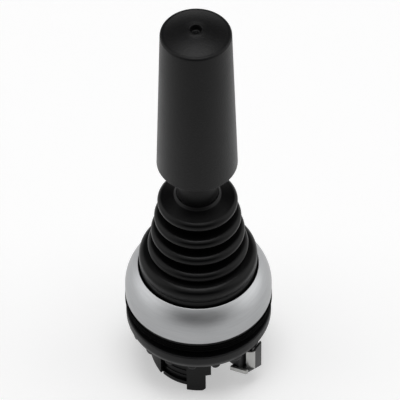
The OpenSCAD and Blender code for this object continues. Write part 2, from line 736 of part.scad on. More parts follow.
// Tapered grip with rounded top edge, dimple with its nub, and the bores for sleeve and insert
module handle_grip() {
    taper = atan((grip_low_r - grip_top_r) / grip_len);
    collar_bore = collar_r + run_clear;
    dimple_r = dimple_d / 2;
    color([0.11, 0.11, 0.115]) difference() {
        rotate_extrude() polygon(concat(
            [[0, grip_z], [grip_low_r - 0.1, grip_z], [grip_low_r, grip_z + 0.1]],
            arc(grip_top_r - grip_edge_r, grip_top - grip_edge_r, grip_edge_r, taper, 90, 6),
            [[dimple_r + 0.25, grip_top], [dimple_r, grip_top - 0.1],
            [dimple_r - 0.25, grip_top - dimple_h], [0.35, grip_top - dimple_h],
            [0.2, grip_top - dimple_h + 0.3], [0, grip_top - dimple_h + 0.3]]));
        translate([0, 0, grip_z - 1]) cylinder(r = collar_bore, h = collar_seat + 1);
        translate([0, 0, grip_z]) cylinder(r = insert_d / 2 + seat_clear, h = collar_seat + insert_len);
    }
}

// ---- gate, guide and plungers ----

// Square window with round corners, as a flat shape
module gate_window() {
    flat = gate_w - 2 * gate_corner;
    square([gate_w, flat], center = true);
    square([flat, gate_w], center = true);
    for (x = [-1, 1]) for (y = [-1, 1])
        translate([x * flat / 2, y * flat / 2]) circle(r = gate_corner);
}

// Places its children at the two screws
module screw_place() {
    for (turn = [45, 225]) rotate([0, 0, turn]) translate([screw_ring_r, 0, 0]) children();
}

module gate_plate() {
    color([0.8, 0.8, 0.78]) translate([0, 0, gate_low]) difference() {
        cylinder(r = neck_in_r - run_clear, h = gate_t);
        translate([0, 0, -1]) linear_extrude(gate_t + 2) gate_window();
        for (turn = [0:90:270]) plunger_place(turn)
            translate([0, 0, -1]) cylinder(r = plunger_r + run_clear, h = gate_t + 2);
        screw_place() translate([0, 0, -1]) cylinder(r = screw_d / 2 + seat_clear, h = gate_t + 2);
    }
}

module rear_guide() {
    color([0.13, 0.13, 0.135]) translate([0, 0, guide_low]) difference() {
        rotate_extrude() polygon([[0, 0], [guide_boss_r, 0], [guide_boss_r, guide_boss_h],
            [guide_r, guide_boss_h], [guide_r, guide_t], [0, guide_t]]);
        for (turn = [0:90:270]) plunger_place(turn)
            translate([0, 0, -1]) cylinder(r = plunger_r + run_clear, h = guide_t + 2);
        screw_place() {
            translate([0, 0, -1]) cylinder(r = screw_d / 2 + run_clear, h = guide_t + 2);
            translate([0, 0, -1]) cylinder(d = screw_head_d + 2 * run_clear, h = 1 + screw_head_h);
        }
    }
}

module guide_screws() {
    head_low = guide_low + 0.05;
    head_top = guide_low + screw_head_h - seat_clear;
    shank_top = gate_z - 0.2;
    color([0.72, 0.72, 0.73]) screw_place() {
        translate([0, 0, head_low]) cylinder(d = screw_head_d, h = head_top - head_low);
        translate([0, 0, head_low]) cylinder(d = screw_d, h = shank_top - head_low);
    }
}

// One plunger: domed head under a rocker arm, stem and rounded end
module plunger() {
    edge = acos(head_d / 2 / dome_r);
    color([0.75, 0.73, 0.66]) rotate_extrude() polygon(concat([[0, plunger_end],
        [plunger_r - 0.4, plunger_end], [plunger_r, plunger_end + 0.4],
        [plunger_r, head_low], [head_d / 2, head_low]],
        arc(0, plunger_tip - dome_r, dome_r, edge, 82, 5), [[0, plunger_tip]]));
}

// Small coil between the gate plate and a plunger's head
module plunger_spring() {
    coil_r = plunger_r + run_clear * 2 + small_wire / 2;
    low = gate_z + small_wire / 2 + seat_clear;
    top = head_low - small_wire / 2 - seat_clear;
    color([0.7, 0.7, 0.72]) coil(coil_r, coil_r, low, top, small_turns, small_wire, 12, 5);
}

module plunger_front() { plunger_place(270) plunger(); }
module plunger_back() { plunger_place(90) plunger(); }
module plunger_left() { plunger_place(180) plunger(); }
module plunger_right() { plunger_place(0) plunger(); }
module plunger_spring_front() { plunger_place(270) plunger_spring(); }
module plunger_spring_back() { plunger_place(90) plunger_spring(); }
module plunger_spring_left() { plunger_place(180) plunger_spring(); }
module plunger_spring_right() { plunger_place(0) plunger_spring(); }

// Conical coil from the carrier's flange up to the spring stop
module return_spring() {
    low_r = (carrier_hole_r + carrier_bore_r) / 2;
    top_r = shaft_d / 2 + 0.25 + return_wire / 2;
    low = carrier_top + return_wire / 2 + seat_clear;
    top = stop_z - return_wire / 2 - seat_clear;
    color([0.66, 0.66, 0.68]) coil(low_r, top_r, low, top, return_turns, return_wire, 16, 6);
}

bezel_ring();
panel_seal();
housing_body();
fixing_ring();
clip_holder();
locking_clip();
bellows();
boot_ring();
pivot_carrier();
bearing_bushes();
gimbal_ring();
trunnion_pins();
cross_pin();
lever_shaft();
rocker_plate();
shaft_circlip();
spring_stop();
return_spring();
collar_sleeve();
handle_insert();
handle_grip();
gate_plate();
rear_guide();
guide_screws();
plunger_front();
plunger_back();
plunger_left();
plunger_right();
plunger_spring_front();
plunger_spring_back();
plunger_spring_left();
plunger_spring_right();
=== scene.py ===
"""Panel joystick: tapered grip, folded rubber bellows, satin bezel, seal, ring nut and the works inside.

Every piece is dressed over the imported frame, in metres, with +Z along the lever at rest.
Sizes in the classes are millimetres, and are turned into metres where a mesh is made.
"""
import logging
import math
from abc import ABC, abstractmethod
from dataclasses import dataclass
from enum import Enum
from functools import partialmethod

import bmesh
import bpy
from mathutils import Matrix, Vector


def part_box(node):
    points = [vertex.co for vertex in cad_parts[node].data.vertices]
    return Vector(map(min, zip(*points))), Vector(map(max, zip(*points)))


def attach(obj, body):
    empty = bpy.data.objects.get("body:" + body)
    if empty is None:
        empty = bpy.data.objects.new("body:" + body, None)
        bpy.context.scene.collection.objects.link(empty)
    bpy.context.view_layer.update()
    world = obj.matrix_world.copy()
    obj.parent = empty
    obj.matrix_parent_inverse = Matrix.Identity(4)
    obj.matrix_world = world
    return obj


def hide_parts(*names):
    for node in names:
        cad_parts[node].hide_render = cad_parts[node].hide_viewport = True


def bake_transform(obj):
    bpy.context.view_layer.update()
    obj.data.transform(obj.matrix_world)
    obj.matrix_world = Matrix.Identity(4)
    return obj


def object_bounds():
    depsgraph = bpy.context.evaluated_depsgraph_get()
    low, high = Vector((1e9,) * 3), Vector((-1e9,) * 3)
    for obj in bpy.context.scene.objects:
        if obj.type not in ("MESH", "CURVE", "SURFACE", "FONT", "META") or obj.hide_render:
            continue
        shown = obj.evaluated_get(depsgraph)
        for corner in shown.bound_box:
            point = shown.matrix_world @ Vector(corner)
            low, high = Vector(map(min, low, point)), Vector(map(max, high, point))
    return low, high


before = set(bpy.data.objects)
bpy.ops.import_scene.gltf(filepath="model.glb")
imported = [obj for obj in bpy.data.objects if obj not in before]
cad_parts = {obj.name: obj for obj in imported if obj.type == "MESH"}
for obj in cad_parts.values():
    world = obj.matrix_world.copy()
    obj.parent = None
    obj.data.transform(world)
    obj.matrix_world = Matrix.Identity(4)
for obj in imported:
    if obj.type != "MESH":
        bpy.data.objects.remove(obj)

CAD_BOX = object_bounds()
MM = 0.001
FULL_TURN = 2 * math.pi
WELD = 1e-7
SOFT_EDGE = 60.0
MOULDED_EDGE = 50.0
LOG = logging.getLogger("joystick")

Point = tuple[float, float]  # across and up, or width and height
Place = tuple[float, float, float]
Colour = tuple[float, float, float]
Node = bpy.types.Node
Socket = bpy.types.NodeSocket
Tree = bpy.types.NodeTree
Piece = bpy.types.Object

FLOAT, INTEGER, VECTOR, GEOMETRY, MATERIAL = (
    f"NodeSocket{kind}" for kind in ("Float", "Int", "Vector", "Geometry", "Material"))
# Numbers of a Mix node's colour inputs and output.
MIX_FIRST, MIX_SECOND, MIX_RESULT = 6, 7, 2


class Body(Enum):
    """The bodies of the mechanism that pieces ride on."""

    HOUSING = "housing"
    GIMBAL = "gimbal"
    LEVER = "lever"
    RING_NUT = "ring_nut"


LOWER = (Body.HOUSING.value, Body.GIMBAL.value)
UPPER = (Body.GIMBAL.value, Body.LEVER.value)


class Side(Enum):
    """The four plunger stations and their angles round the axis, in degrees."""

    FRONT = 270
    BACK = 90
    LEFT = 180
    RIGHT = 0


# ---- node helpers ----


class Wiring:
    """Adds and links nodes in one node tree."""

    def __init__(self, tree: Tree) -> None:
        """Keeps the tree that the nodes go into.

        Args:
            tree: a shader or geometry node tree.
        """
        self.tree = tree

    def put(self, source: object, target: Socket) -> None:
        """Feeds a socket from another socket, or sets its value.

        Args:
            source: an output socket, or a plain value.
            target: the input socket.
        """
        if isinstance(source, Socket):
            self.tree.links.new(source, target)
        else:
            target.default_value = source

    def add(self, kind: str, inputs: dict[str | int, object] | None = None, **values: object) -> Node:
        """Adds a node, sets its properties and feeds its inputs.

        Args:
            kind: the node's type name.
            inputs: sockets or values by input name or number.
            values: properties of the node, by name.

        Returns:
            The new node.
        """
        node = self.tree.nodes.new(kind)
        for name, value in values.items():
            setattr(node, name, value)
        for name, source in (inputs or {}).items():
            self.put(source, node.inputs[name])
        return node

    def maths(self, operation: str, *terms: object) -> Socket:
        """Adds a Math node.

        Args:
            operation: the node's operation.
            terms: one to three sockets or numbers.

        Returns:
            The result.
        """
        return self.add("ShaderNodeMath", dict(enumerate(terms)), operation=operation).outputs[0]

    # The commonest operations by name, each of two sockets or numbers.
    times = partialmethod(maths, "MULTIPLY")
    over = partialmethod(maths, "DIVIDE")
    plus = partialmethod(maths, "ADD")
    minus = partialmethod(maths, "SUBTRACT")
    most = partialmethod(maths, "MAXIMUM")
    least = partialmethod(maths, "MINIMUM")

    def ramp(self, value: Socket, low: float, high: float) -> Socket:
        """Maps a range of values smoothly to 0 to 1, clamped.

        Args:
            value: the socket to map.
            low: the value that gives 0.
            high: the value that gives 1.

        Returns:
            The mapped value.
        """
        return self.add("ShaderNodeMapRange", {"Value": value, "From Min": low, "From Max": high},
                        interpolation_type="SMOOTHSTEP").outputs["Result"]

    def noise(self, place: Socket, scale: object, detail: float = 2.0, flat: bool = False,
              **inputs: float) -> Socket:
        """Adds a noise texture.

        Args:
            place: the vector that it reads.
            scale: its scale, a socket or a number.
            detail: its number of octaves.
            flat: True where it reads only two parts of the vector.
            inputs: further input values by name.

        Returns:
            The noise, 0 to 1.
        """
        return self.add("ShaderNodeTexNoise", {"Vector": place, "Scale": scale, "Detail": detail, **inputs},
                        noise_dimensions="2D" if flat else "3D").outputs[0]

    def combine(self, x: object, y: object, z: object) -> Socket:
        """Joins three values into a vector.

        Args:
            x: first part.
            y: second part.
            z: third part.

        Returns:
            The vector.
        """
        return self.add("ShaderNodeCombineXYZ", {0: x, 1: y, 2: z}).outputs[0]

    def split(self, vector: Socket) -> list[Socket]:
        """Takes a vector apart.

        Args:
            vector: the vector.

        Returns:
            Its three parts.
        """
        return list(self.add("ShaderNodeSeparateXYZ", {0: vector}).outputs)

    def radius(self, x: Socket, y: Socket) -> Socket:
        """Distance from the Z axis.

        Args:
            x: position along X.
            y: position along Y.

        Returns:
            The distance.
        """
        return self.maths("SQRT", self.plus(self.times(x, x), self.times(y, y)))

    def seen(self) -> Socket:
        """Tells the rays that show a surface from those that only light others.

        Returns:
            1 for camera, glossy and transmission rays, else 0.
        """
        rays = self.add("ShaderNodeLightPath").outputs
        return self.most(rays["Is Camera Ray"],
                         self.most(rays["Is Glossy Ray"], rays["Is Transmission Ray"]))

    def close(self, end: Node, **sources: Socket) -> Tree:
        """Feeds the outputs of a group.

        Args:
            end: the group's output node.
            sources: sockets by output name.

        Returns:
            The finished tree.
        """
        for name, source in sources.items():
            self.put(source, end.inputs[name])
        return self.tree


def open_tree(kind: str, name: str, ins: dict[str, str], outs: dict[str, str]) -> tuple[Wiring, Node, Node]:
    """Starts a node group with its sockets.

    Args:
        kind: the tree's type name.
        name: the group's name.
        ins: input socket types by name.
        outs: output socket types by name.

    Returns:
        The wiring, the group's input node and its output node.
    """
    tree = bpy.data.node_groups.new(name, kind)
    for way, kinds in (("INPUT", ins), ("OUTPUT", outs)):
        for title, socket_kind in kinds.items():
            tree.interface.new_socket(name=title.replace("_", " "), in_out=way, socket_type=socket_kind)
    wire = Wiring(tree)
    return wire, wire.add("NodeGroupInput"), wire.add("NodeGroupOutput")


# ---- shader effects, each built once ----


class Effects:
    """Shader node groups that several finishes share. They give only masks and heights."""

    def __init__(self) -> None:
        """Builds every group."""
        self.grain = self._grain()
        self.mottle = self._mottle()
        self.turned = self._turned()
        self.dust = self._dust()
        self.flow = self._flow()

    def _open(self, name: str, ins: str, outs: str) -> tuple[Wiring, list[Socket], Node]:
        """Starts a group: Position and Facing are vectors, all else is a number.

        Args:
            name: the group's name.
            ins: names of the inputs, with spaces between.
            outs: names of the outputs, with spaces between.

        Returns:
            The wiring, the inputs as sockets and the group's output node.
        """
        kinds = {title: VECTOR if title in ("Position", "Facing") else FLOAT for title in ins.split()}
        wire, start, end = open_tree("ShaderNodeTree", name, kinds, dict.fromkeys(outs.split(), FLOAT))
        return wire, start.outputs[:len(kinds)], end

    def _grain(self) -> Tree:
        """Spark-eroded mould grain: two sizes of pits, as a height and as specks.

        Returns:
            The node group.
        """
        wire, (place, size), end = self._open("Mould grain", "Position Size", "Height Speck")
        scale = wire.over(1.0, size)
        fine = wire.noise(place, scale, 2.0, Roughness=0.6)
        coarse = wire.add("ShaderNodeTexVoronoi",
                          {"Vector": place, "Scale": wire.times(scale, 0.6), "Smoothness": 0.6},
                          feature="SMOOTH_F1").outputs["Distance"]
        bumps = wire.ramp(fine, 0.35, 0.65)
        return wire.close(end, Height=wire.plus(wire.times(bumps, 0.6), wire.times(coarse, 0.5)),
                          Speck=wire.ramp(fine, 0.56, 0.74))

    def _mottle(self) -> Tree:
        """Soft, wide unevenness of a moulded or handled surface, as a factor round one.

        Returns:
            The node group.
        """
        wire, (place, size, amount), end = self._open("Soft mottle", "Position Size Amount", "Factor")
        noise = wire.noise(place, wire.over(1.0, size), 4.0, Distortion=0.4)
        swing = wire.times(wire.minus(noise, 0.5), wire.times(amount, 2.0))
        return wire.close(end, Factor=wire.plus(swing, 1.0))

    def _turned(self) -> Tree:
        """Lines that a lathe or brush leaves round the Z axis, without a seam.

        Returns:
            The node group.
        """
        wire, (place, pitch, waver), end = self._open("Turned lines", "Position Pitch Waver", "Height Streak")
        x, y, z = wire.split(place)
        radius = wire.most(wire.radius(x, y), 1e-5)
        along = wire.over(wire.minus(z, radius), pitch)
        turns = [wire.times(wire.over(part, radius), waver) for part in (x, y)]
        lines = wire.noise(wire.combine(*turns, along), 1.0, 3.0, Roughness=0.7)
        wide = wire.noise(wire.combine(*turns, wire.times(along, 0.12)), 1.0, 2.0)
        return wire.close(end, Height=lines, Streak=wire.ramp(wide, 0.3, 0.7))

    def _dust(self) -> Tree:
        """Fine dust and handling haze that settles where a surface faces up.

        Returns:
            The node group.
        """
        wire, (place, facing, amount), end = self._open("Settled dust", "Position Facing Amount", "Mask")
        up = wire.ramp(wire.split(facing)[2], 0.1, 1.0)
        patches = wire.ramp(wire.noise(place, 1400.0, 5.0), 0.45, 0.8)
        return wire.close(end, Mask=wire.times(wire.times(up, patches), amount))

    def _flow(self) -> Tree:
        """Faint rings that moulding leaves round the Z axis of a rubber part, and its soft skin.

        Returns:
            The node group.
        """
        wire, (place, pitch), end = self._open("Moulded skin", "Position Pitch", "Height Tone")
        x, y, z = wire.split(place)
        path = wire.over(wire.plus(wire.radius(x, y), wire.times(z, 0.7)), pitch)
        rings = wire.noise(wire.combine(path, wire.times(z, 40.0), 0.0), 1.0, flat=True)
        skin = wire.noise(place, 2200.0, 3.0)
        return wire.close(end, Height=wire.plus(wire.times(rings, 0.35), wire.times(skin, 0.65)),
                          Tone=wire.ramp(rings, 0.3, 0.7))


# ---- finishes ----


@dataclass
class Coat:
    """A material while it is wired: its shader, the position, the facing and the effects."""

    wire: Wiring
    shader: Node
    place: Socket
    facing: Socket
    effects: Effects

    def effect(self, tree: Tree, **values: object) -> Node:
        """Places a shared effect, which reads the position.

        Args:
            tree: the effect's node group.
            values: input values or sockets by name.

        Returns:
            The group node.
        """
        node = self.wire.add("ShaderNodeGroup", node_tree=tree)
        for name, value in {"Position": self.place, **values}.items():
            self.wire.put(value, node.inputs[name])
        return node

    def mottle(self, size: float, amount: float) -> Socket:
        """Places the soft mottle.

        Args:
            size: width of its spots, in metres.
            amount: how far the factor swings.

        Returns:
            A factor round one.
        """
        return self.effect(self.effects.mottle, Size=size, Amount=amount).outputs[0]

    def dust(self, amount: float) -> Socket:
        """Places the settled dust.

        Args:
            amount: its strength.

        Returns:
            Its mask.
        """
        return self.effect(self.effects.dust, Facing=self.facing, Amount=amount).outputs[0]

    def tint(self, mask: Socket, low: Colour, high: Colour) -> None:
        """Gives the shader two colours mixed by a mask.

        Args:
            mask: the mask.
            low: colour where the mask is 0.
            high: colour where the mask is 1.
        """
        mix = self.wire.add("ShaderNodeMix", {
            "Factor": mask, MIX_FIRST: (*low, 1.0), MIX_SECOND: (*high, 1.0)}, data_type="RGBA")
        self.feed("Base Color", mix.outputs[MIX_RESULT])

    def relief(self, height: Socket, depth: float) -> None:
        """Feeds the shader's normal from a height.

        Args:
            height: the height, 0 to 1.
            depth: what a height of 1 stands for, in metres.
        """
        bump = self.wire.add("ShaderNodeBump", {"Strength": 1.0, "Distance": depth, "Height": height})
        self.feed("Normal", bump.outputs[0])

    def feed(self, name: str, source: object) -> None:
        """Feeds or sets one of the shader's inputs.

        Args:
            name: the input's name.
            source: a socket or a value.
        """
        self.wire.put(source, self.shader.inputs[name])


@dataclass(frozen=True)
class Finish(ABC):
    """What every finish has: a name, a base colour and a roughness."""

    name: str
    colour: Colour
    roughness: float

    @abstractmethod
    def surface(self, coat: Coat) -> None:
        """Wires the finish's surface.

        Args:
            coat: the material that takes it.
        """

    def build(self, effects: Effects) -> bpy.types.Material:
        """Builds the material.

        Args:
            effects: the shared shader groups.

        Returns:
            The material.
        """
        material = bpy.data.materials.new(self.name)
        material.use_nodes = True
        material.diffuse_color = (*self.colour, 1.0)
        wire = Wiring(material.node_tree)
        self.surface(Coat(wire, material.node_tree.nodes["Principled BSDF"],
                          wire.add("ShaderNodeTexCoord").outputs["Object"],
                          wire.add("ShaderNodeNewGeometry").outputs["Normal"], effects))
        return material


@dataclass(frozen=True)
class Moulded(Finish):
    """Moulded plastic with a spark-eroded grain, slight mottle and a little settled dust."""

    grain_size: float = 0.00026
    grain_depth: float = 0.000012
    mottle: float = 0.12
    spot: float = 0.006
    dust: float = 0.3
    dust_rough: float = 0.15
    reflect: float = 0.5
    lift: float = 1.8
    pale: float = 0.004
    sheen: float = 0.0
    sheen_rough: float = 0.4

    def surface(self, coat: Coat) -> None:
        """Wires grain, mottle and dust."""
        wire = coat.wire
        grain = coat.effect(coat.effects.grain, Size=self.grain_size)
        mottle, dust = coat.mottle(self.spot, self.mottle), coat.dust(self.dust)
        mask = wire.plus(wire.times(grain.outputs["Speck"], mottle), dust)
        coat.tint(wire.least(mask, 1.0), self.colour,
                  tuple(c * self.lift + self.pale for c in self.colour))
        rough = wire.plus(wire.times(mottle, self.roughness), wire.times(dust, self.dust_rough))
        coat.feed("Roughness", wire.least(rough, 1.0))
        coat.feed("Specular IOR Level", self.reflect)
        coat.feed("Sheen Weight", self.sheen)
        coat.feed("Sheen Roughness", self.sheen_rough)
        coat.relief(grain.outputs["Height"], self.grain_depth)


@dataclass(frozen=True)
class Rubber(Finish):
    """Moulded rubber: faint rings, soft skin and a satin bloom."""

    pitch: float = 0.0011
    depth: float = 0.000006
    mottle: float = 0.16
    spot: float = 0.004
    tone: float = 0.25
    reflect: float = 0.5
    bloom: float = 0.25
    lift: float = 1.7
    pale: float = 0.003

    def surface(self, coat: Coat) -> None:
        """Wires the skin, its mottle and its bloom."""
        wire = coat.wire
        skin = coat.effect(coat.effects.flow, Pitch=self.pitch)
        mottle, dust = coat.mottle(self.spot, self.mottle), coat.dust(self.bloom)
        mask = wire.plus(wire.times(skin.outputs["Tone"], self.tone), dust)
        coat.tint(wire.least(mask, 1.0), self.colour,
                  tuple(c * self.lift + self.pale for c in self.colour))
        coat.feed("Roughness", wire.least(wire.times(mottle, self.roughness), 1.0))
        coat.feed("Specular IOR Level", self.reflect)
        coat.relief(skin.outputs["Height"], self.depth)


@dataclass(frozen=True)
class Turned(Finish):
    """Metal turned or brushed round its axis, with fine lines and faint streaks."""

    pitch: float = 0.00007
    waver: float = 2.2
    depth: float = 0.0000012
    streak: float = 0.12
    mottle: float = 0.1
    spot: float = 0.005
    line_rough: float = 0.16

    def surface(self, coat: Coat) -> None:
        """Wires the turned lines and the mottle."""
        wire = coat.wire
        lines = coat.effect(coat.effects.turned, Pitch=self.pitch, Waver=self.waver).outputs
        mottle = coat.mottle(self.spot, self.mottle)
        coat.tint(lines["Streak"], tuple(c * (1 - self.streak) for c in self.colour), self.colour)
        rough = wire.plus(wire.times(lines["Height"], self.line_rough), self.roughness - self.line_rough / 2)
        coat.feed("Roughness", wire.times(rough, mottle))
        coat.feed("Metallic", 1.0)
        coat.relief(lines["Height"], self.depth)


BLACK = (0.0018, 0.0018, 0.0020)
GRIP = Moulded("Grip plastic", (0.0022, 0.0022, 0.0024), 0.40, grain_size=0.0003, grain_depth=0.000016,
               reflect=0.145, dust=0.12, sheen=0.015)
COLLAR = Moulded("Sleeve plastic", BLACK, 0.32, grain_depth=0.000006, reflect=0.14, dust=0.05)
BODY = Moulded("Body plastic", BLACK, 0.42, grain_size=0.0004, grain_depth=0.000008, reflect=0.13, dust=0.15)
NUT = Moulded("Ring nut plastic", (0.0034, 0.0035, 0.0040), 0.42, grain_size=0.0003, grain_depth=0.00001,
              reflect=0.16, dust=0.15)
HOLDER = Moulded("Holder plastic", (0.03, 0.03, 0.031), 0.45, grain_depth=0.000006, reflect=0.25, dust=0.2)
NATURAL = Moulded("Natural plastic", (0.55, 0.53, 0.46), 0.4, grain_depth=0.000004, lift=1.05, dust=0.1)
BOOT = Rubber("Bellows rubber", (0.0009, 0.0009, 0.0010), 0.33, reflect=0.125, bloom=0.1)
SEAL = Rubber("Seal rubber", (0.0006, 0.0006, 0.0007), 0.6, pitch=0.0006, depth=0.000005, reflect=0.02,
              bloom=0.05)
BEZEL = Turned("Satin metal", (0.388, 0.393, 0.400), 0.44, pitch=0.00006, waver=3.0, depth=0.0000014,
               streak=0.06)
STEEL = Turned("Turned steel", (0.50, 0.50, 0.51), 0.28)
PIN_STEEL = Turned("Ground steel", (0.60, 0.60, 0.61), 0.2, depth=0.0000006)
WIRE = Turned("Spring wire", (0.45, 0.45, 0.46), 0.24, depth=0.0000006)
BRONZE = Turned("Sintered bronze", (0.52, 0.34, 0.16), 0.42)
BRASS = Turned("Turned brass", (0.70, 0.50, 0.22), 0.3)
ROLLED = {"pitch": 0.0003, "waver": 14.0, "depth": 0.000002}
NICKEL = Turned("Dull nickel", (0.62, 0.62, 0.59), 0.36, **ROLLED)
# The clip is one sheet of metal: a painted-lit copy for the front wall, bend and lip, and a painted-shade
# copy for the outer wall and foot.
CLIP_PAINTED_LIT = Turned("Clip metal painted lit", (0.40, 0.40, 0.39), 0.38, **ROLLED)
CLIP_PAINTED_SHADE = Turned("Clip metal painted shade", (0.085, 0.085, 0.085), 0.46, **ROLLED)


# ---- shape helpers ----


def arc(centre: Point, radius: float, start: float, end: float, steps: int = 10) -> list[Point]:
    """Points on an arc in the radius-height plane.

    Args:
        centre: the arc's centre.
        radius: its radius.
        start: first angle in degrees.
        end: last angle in degrees.
        steps: number of chords.

    Returns:
        The points, both ends included.
    """
    angles = [math.radians(start + (end - start) * k / steps) for k in range(steps + 1)]
    return [(centre[0] + radius * math.cos(a), centre[1] + radius * math.sin(a)) for a in angles]


def softened(points: list[Point], radii: dict[int, float], steps: int = 5) -> list[Point]:
    """Rounds chosen corners of an open line of points.

    Args:
        points: the corners.
        radii: rounding distance by corner number.
        steps: chords in each rounding.

    Returns:
        The line with its roundings.
    """
    out: list[Point] = []
    for i, point in enumerate(points):
        if i not in radii or i in (0, len(points) - 1):
            out.append(point)
            continue
        here, before, after = Vector(point), Vector(points[i - 1]), Vector(points[i + 1])
        cut = min(radii[i], (before - here).length * 0.49, (after - here).length * 0.49)
        a = here + (before - here).normalized() * cut
        b = here + (after - here).normalized() * cut
        for k in range(steps + 1):
            t = k / steps
            p = a * (1 - t) ** 2 + here * 2 * t * (1 - t) + b * t ** 2
            out.append((p.x, p.y))
    return out


def loft(work: bmesh.types.BMesh, rings: list[list[Place]]) -> None:
    """Joins rings of points into a closed body.

    Args:
        work: the mesh that takes it.
        rings: rings with as many points each, in metres.
    """
    made = [[work.verts.new(point) for point in ring] for ring in rings]
    for low, high in zip(made, made[1:]):
        for k in range(len(low)):
            n = (k + 1) % len(low)
            work.faces.new((low[k], low[n], high[n], high[k]))
    work.faces.new(made[0][::-1])
    work.faces.new(made[-1])


class Trees:
    """Geometry node trees for turned, coiled and repeated pieces, each built once."""

    def __init__(self) -> None:
        """Builds every tree."""
        self.lathe = self._lathe()
        self.coil = self._coil()
        self.nubs = self._nubs()

    def _open(self, name: str, **kinds: str) -> tuple[Wiring, dict[str, Socket], Node]:
        """Starts a geometry tree with its inputs and its one output.

        Args:
            name: the tree's name.
            kinds: input socket types by name.

        Returns:
            The wiring, the inputs by name and the output node.
        """
        kinds = {"Geometry": GEOMETRY, **kinds, "Finish": MATERIAL}
        wire, start, end = open_tree("GeometryNodeTree", name, kinds, {"Geometry": GEOMETRY})
        return wire, dict(zip(kinds, start.outputs)), end

    def _close(self, wire: Wiring, end: Node, given: dict[str, Socket], shape: Socket) -> Tree:
        """Ends a tree: real geometry, smooth shading and the material.

        Args:
            wire: the tree's wiring.
            end: its output node.
            given: its inputs.
            shape: the geometry made so far.

        Returns:
            The finished tree.
        """
        real = wire.add("GeometryNodeRealizeInstances", {"Geometry": shape})
        smooth = wire.add("GeometryNodeSetShadeSmooth", {0: real.outputs[0]})
        dressed = wire.add("GeometryNodeSetMaterial",
                           {"Geometry": smooth.outputs[0], "Material": given["Finish"]})
        return wire.close(end, Geometry=dressed.outputs[0])

    def _lathe(self) -> Tree:
        """Turns a line of points in the X-Z plane about Z: a grid whose rows take the line's points.

        Returns:
            The node tree.
        """
        wire, given, end = self._open("Turn a profile", Segments=INTEGER, Rows=INTEGER)
        grid = wire.add("GeometryNodeMeshGrid", {
            "Size X": 1.0, "Size Y": 1.0, "Vertices X": wire.plus(given["Segments"], 1.0),
            "Vertices Y": given["Rows"]})
        stored = wire.add("GeometryNodeStoreNamedAttribute",
                          {"Geometry": grid.outputs["Mesh"], "Name": "Turned",
                           "Value": grid.outputs["UV Map"]}, data_type="FLOAT2", domain="CORNER")
        place = wire.add("GeometryNodeInputPosition").outputs[0]
        across, up, _ = wire.split(place)
        turn = wire.times(wire.plus(across, 0.5), FULL_TURN)
        rows = wire.minus(given["Rows"], 1.0)
        row = wire.maths("ROUND", wire.times(wire.plus(up, 0.5), rows))
        sample = wire.add("GeometryNodeSampleIndex",
                          {"Geometry": given["Geometry"], "Value": place, "Index": row},
                          data_type="FLOAT_VECTOR", domain="POINT")
        radius, _, height = wire.split(sample.outputs[0])
        spot = wire.combine(wire.times(radius, wire.maths("COSINE", turn)),
                            wire.times(radius, wire.maths("SINE", turn)), height)
        placed = wire.add("GeometryNodeSetPosition",
                          {"Geometry": stored.outputs["Geometry"], "Position": spot})
        closed = wire.add("GeometryNodeMergeByDistance", {"Geometry": placed.outputs[0], "Distance": WELD})
        return self._close(wire, end, given, closed.outputs[0])

    def _coil(self) -> Tree:
        """A wire or thread ridge wound about Z, straight or conical.

        Returns:
            The node tree.
        """
        wire, given, end = self._open(
            "Wind a wire", Turns=FLOAT, Low_Radius=FLOAT, Top_Radius=FLOAT, Low=FLOAT, Height=FLOAT,
            Wire=FLOAT, Sides=INTEGER)
        spiral = wire.add("GeometryNodeCurveSpiral", {
            "Rotations": given["Turns"], "Start Radius": given["Low_Radius"],
            "End Radius": given["Top_Radius"], "Height": given["Height"], "Resolution": 40})
        ring = wire.add("GeometryNodeCurvePrimitiveCircle", {
            "Resolution": given["Sides"], "Radius": wire.times(given["Wire"], 0.5)})
        tube = wire.add("GeometryNodeCurveToMesh", {
            "Curve": spiral.outputs[0], "Profile Curve": ring.outputs[0], "Fill Caps": True})
        lifted = wire.add("GeometryNodeTransform", {
            "Geometry": tube.outputs[0], "Translation": wire.combine(0.0, 0.0, given["Low"])})
        return self._close(wire, end, given, lifted.outputs[0])

    def _nubs(self) -> Tree:
        """Repeats the given nub round the Z axis.

        Returns:
            The node tree.
        """
        wire, given, end = self._open("Ring of nubs", Count=INTEGER, First=FLOAT)
        points = wire.add("GeometryNodePoints", {"Count": given["Count"], "Position": (0.0, 0.0, 0.0)})
        index = wire.add("GeometryNodeInputIndex").outputs[0]
        step = wire.over(FULL_TURN, given["Count"])
        turn = wire.plus(wire.times(index, step), given["First"])
        placed = wire.add("GeometryNodeInstanceOnPoints", {
            "Points": points.outputs[0], "Instance": given["Geometry"],
            "Rotation": wire.combine(0.0, 0.0, turn)})
        return self._close(wire, end, given, placed.outputs[0])


def new_object(name: str, mesh: bpy.types.Mesh) -> Piece:
    """Links a mesh into the scene as an object at the origin.

    Args:
        name: the piece's name.
        mesh: its mesh, already in place.

    Returns:
        The object.
    """
    obj = bpy.data.objects.new(name, mesh)
    bpy.context.scene.collection.objects.link(obj)
    return obj


def bake(obj: Piece, tree: Tree, **values: object) -> Piece:
    """Runs a geometry tree on an object and keeps the result as a plain mesh.

    Args:
        obj: the object that gives the tree its geometry.
        tree: the geometry node tree.
        values: inputs by name, with underscores for spaces.

    Returns:
        The same object with its new mesh and no modifier.
    """
    modifier = obj.modifiers.new("Build", "NODES")
    modifier.node_group = tree
    for item in tree.interface.items_tree:
        key = item.name.replace(" ", "_")
        if item.item_type == "SOCKET" and item.in_out == "INPUT" and key in values:
            modifier[item.identifier] = values[key]
    graph = bpy.context.evaluated_depsgraph_get()
    mesh = bpy.data.meshes.new_from_object(obj.evaluated_get(graph))
    mesh.name = obj.name
    obj.modifiers.clear()
    old, obj.data = obj.data, mesh
    bpy.data.meshes.remove(old)
    return obj


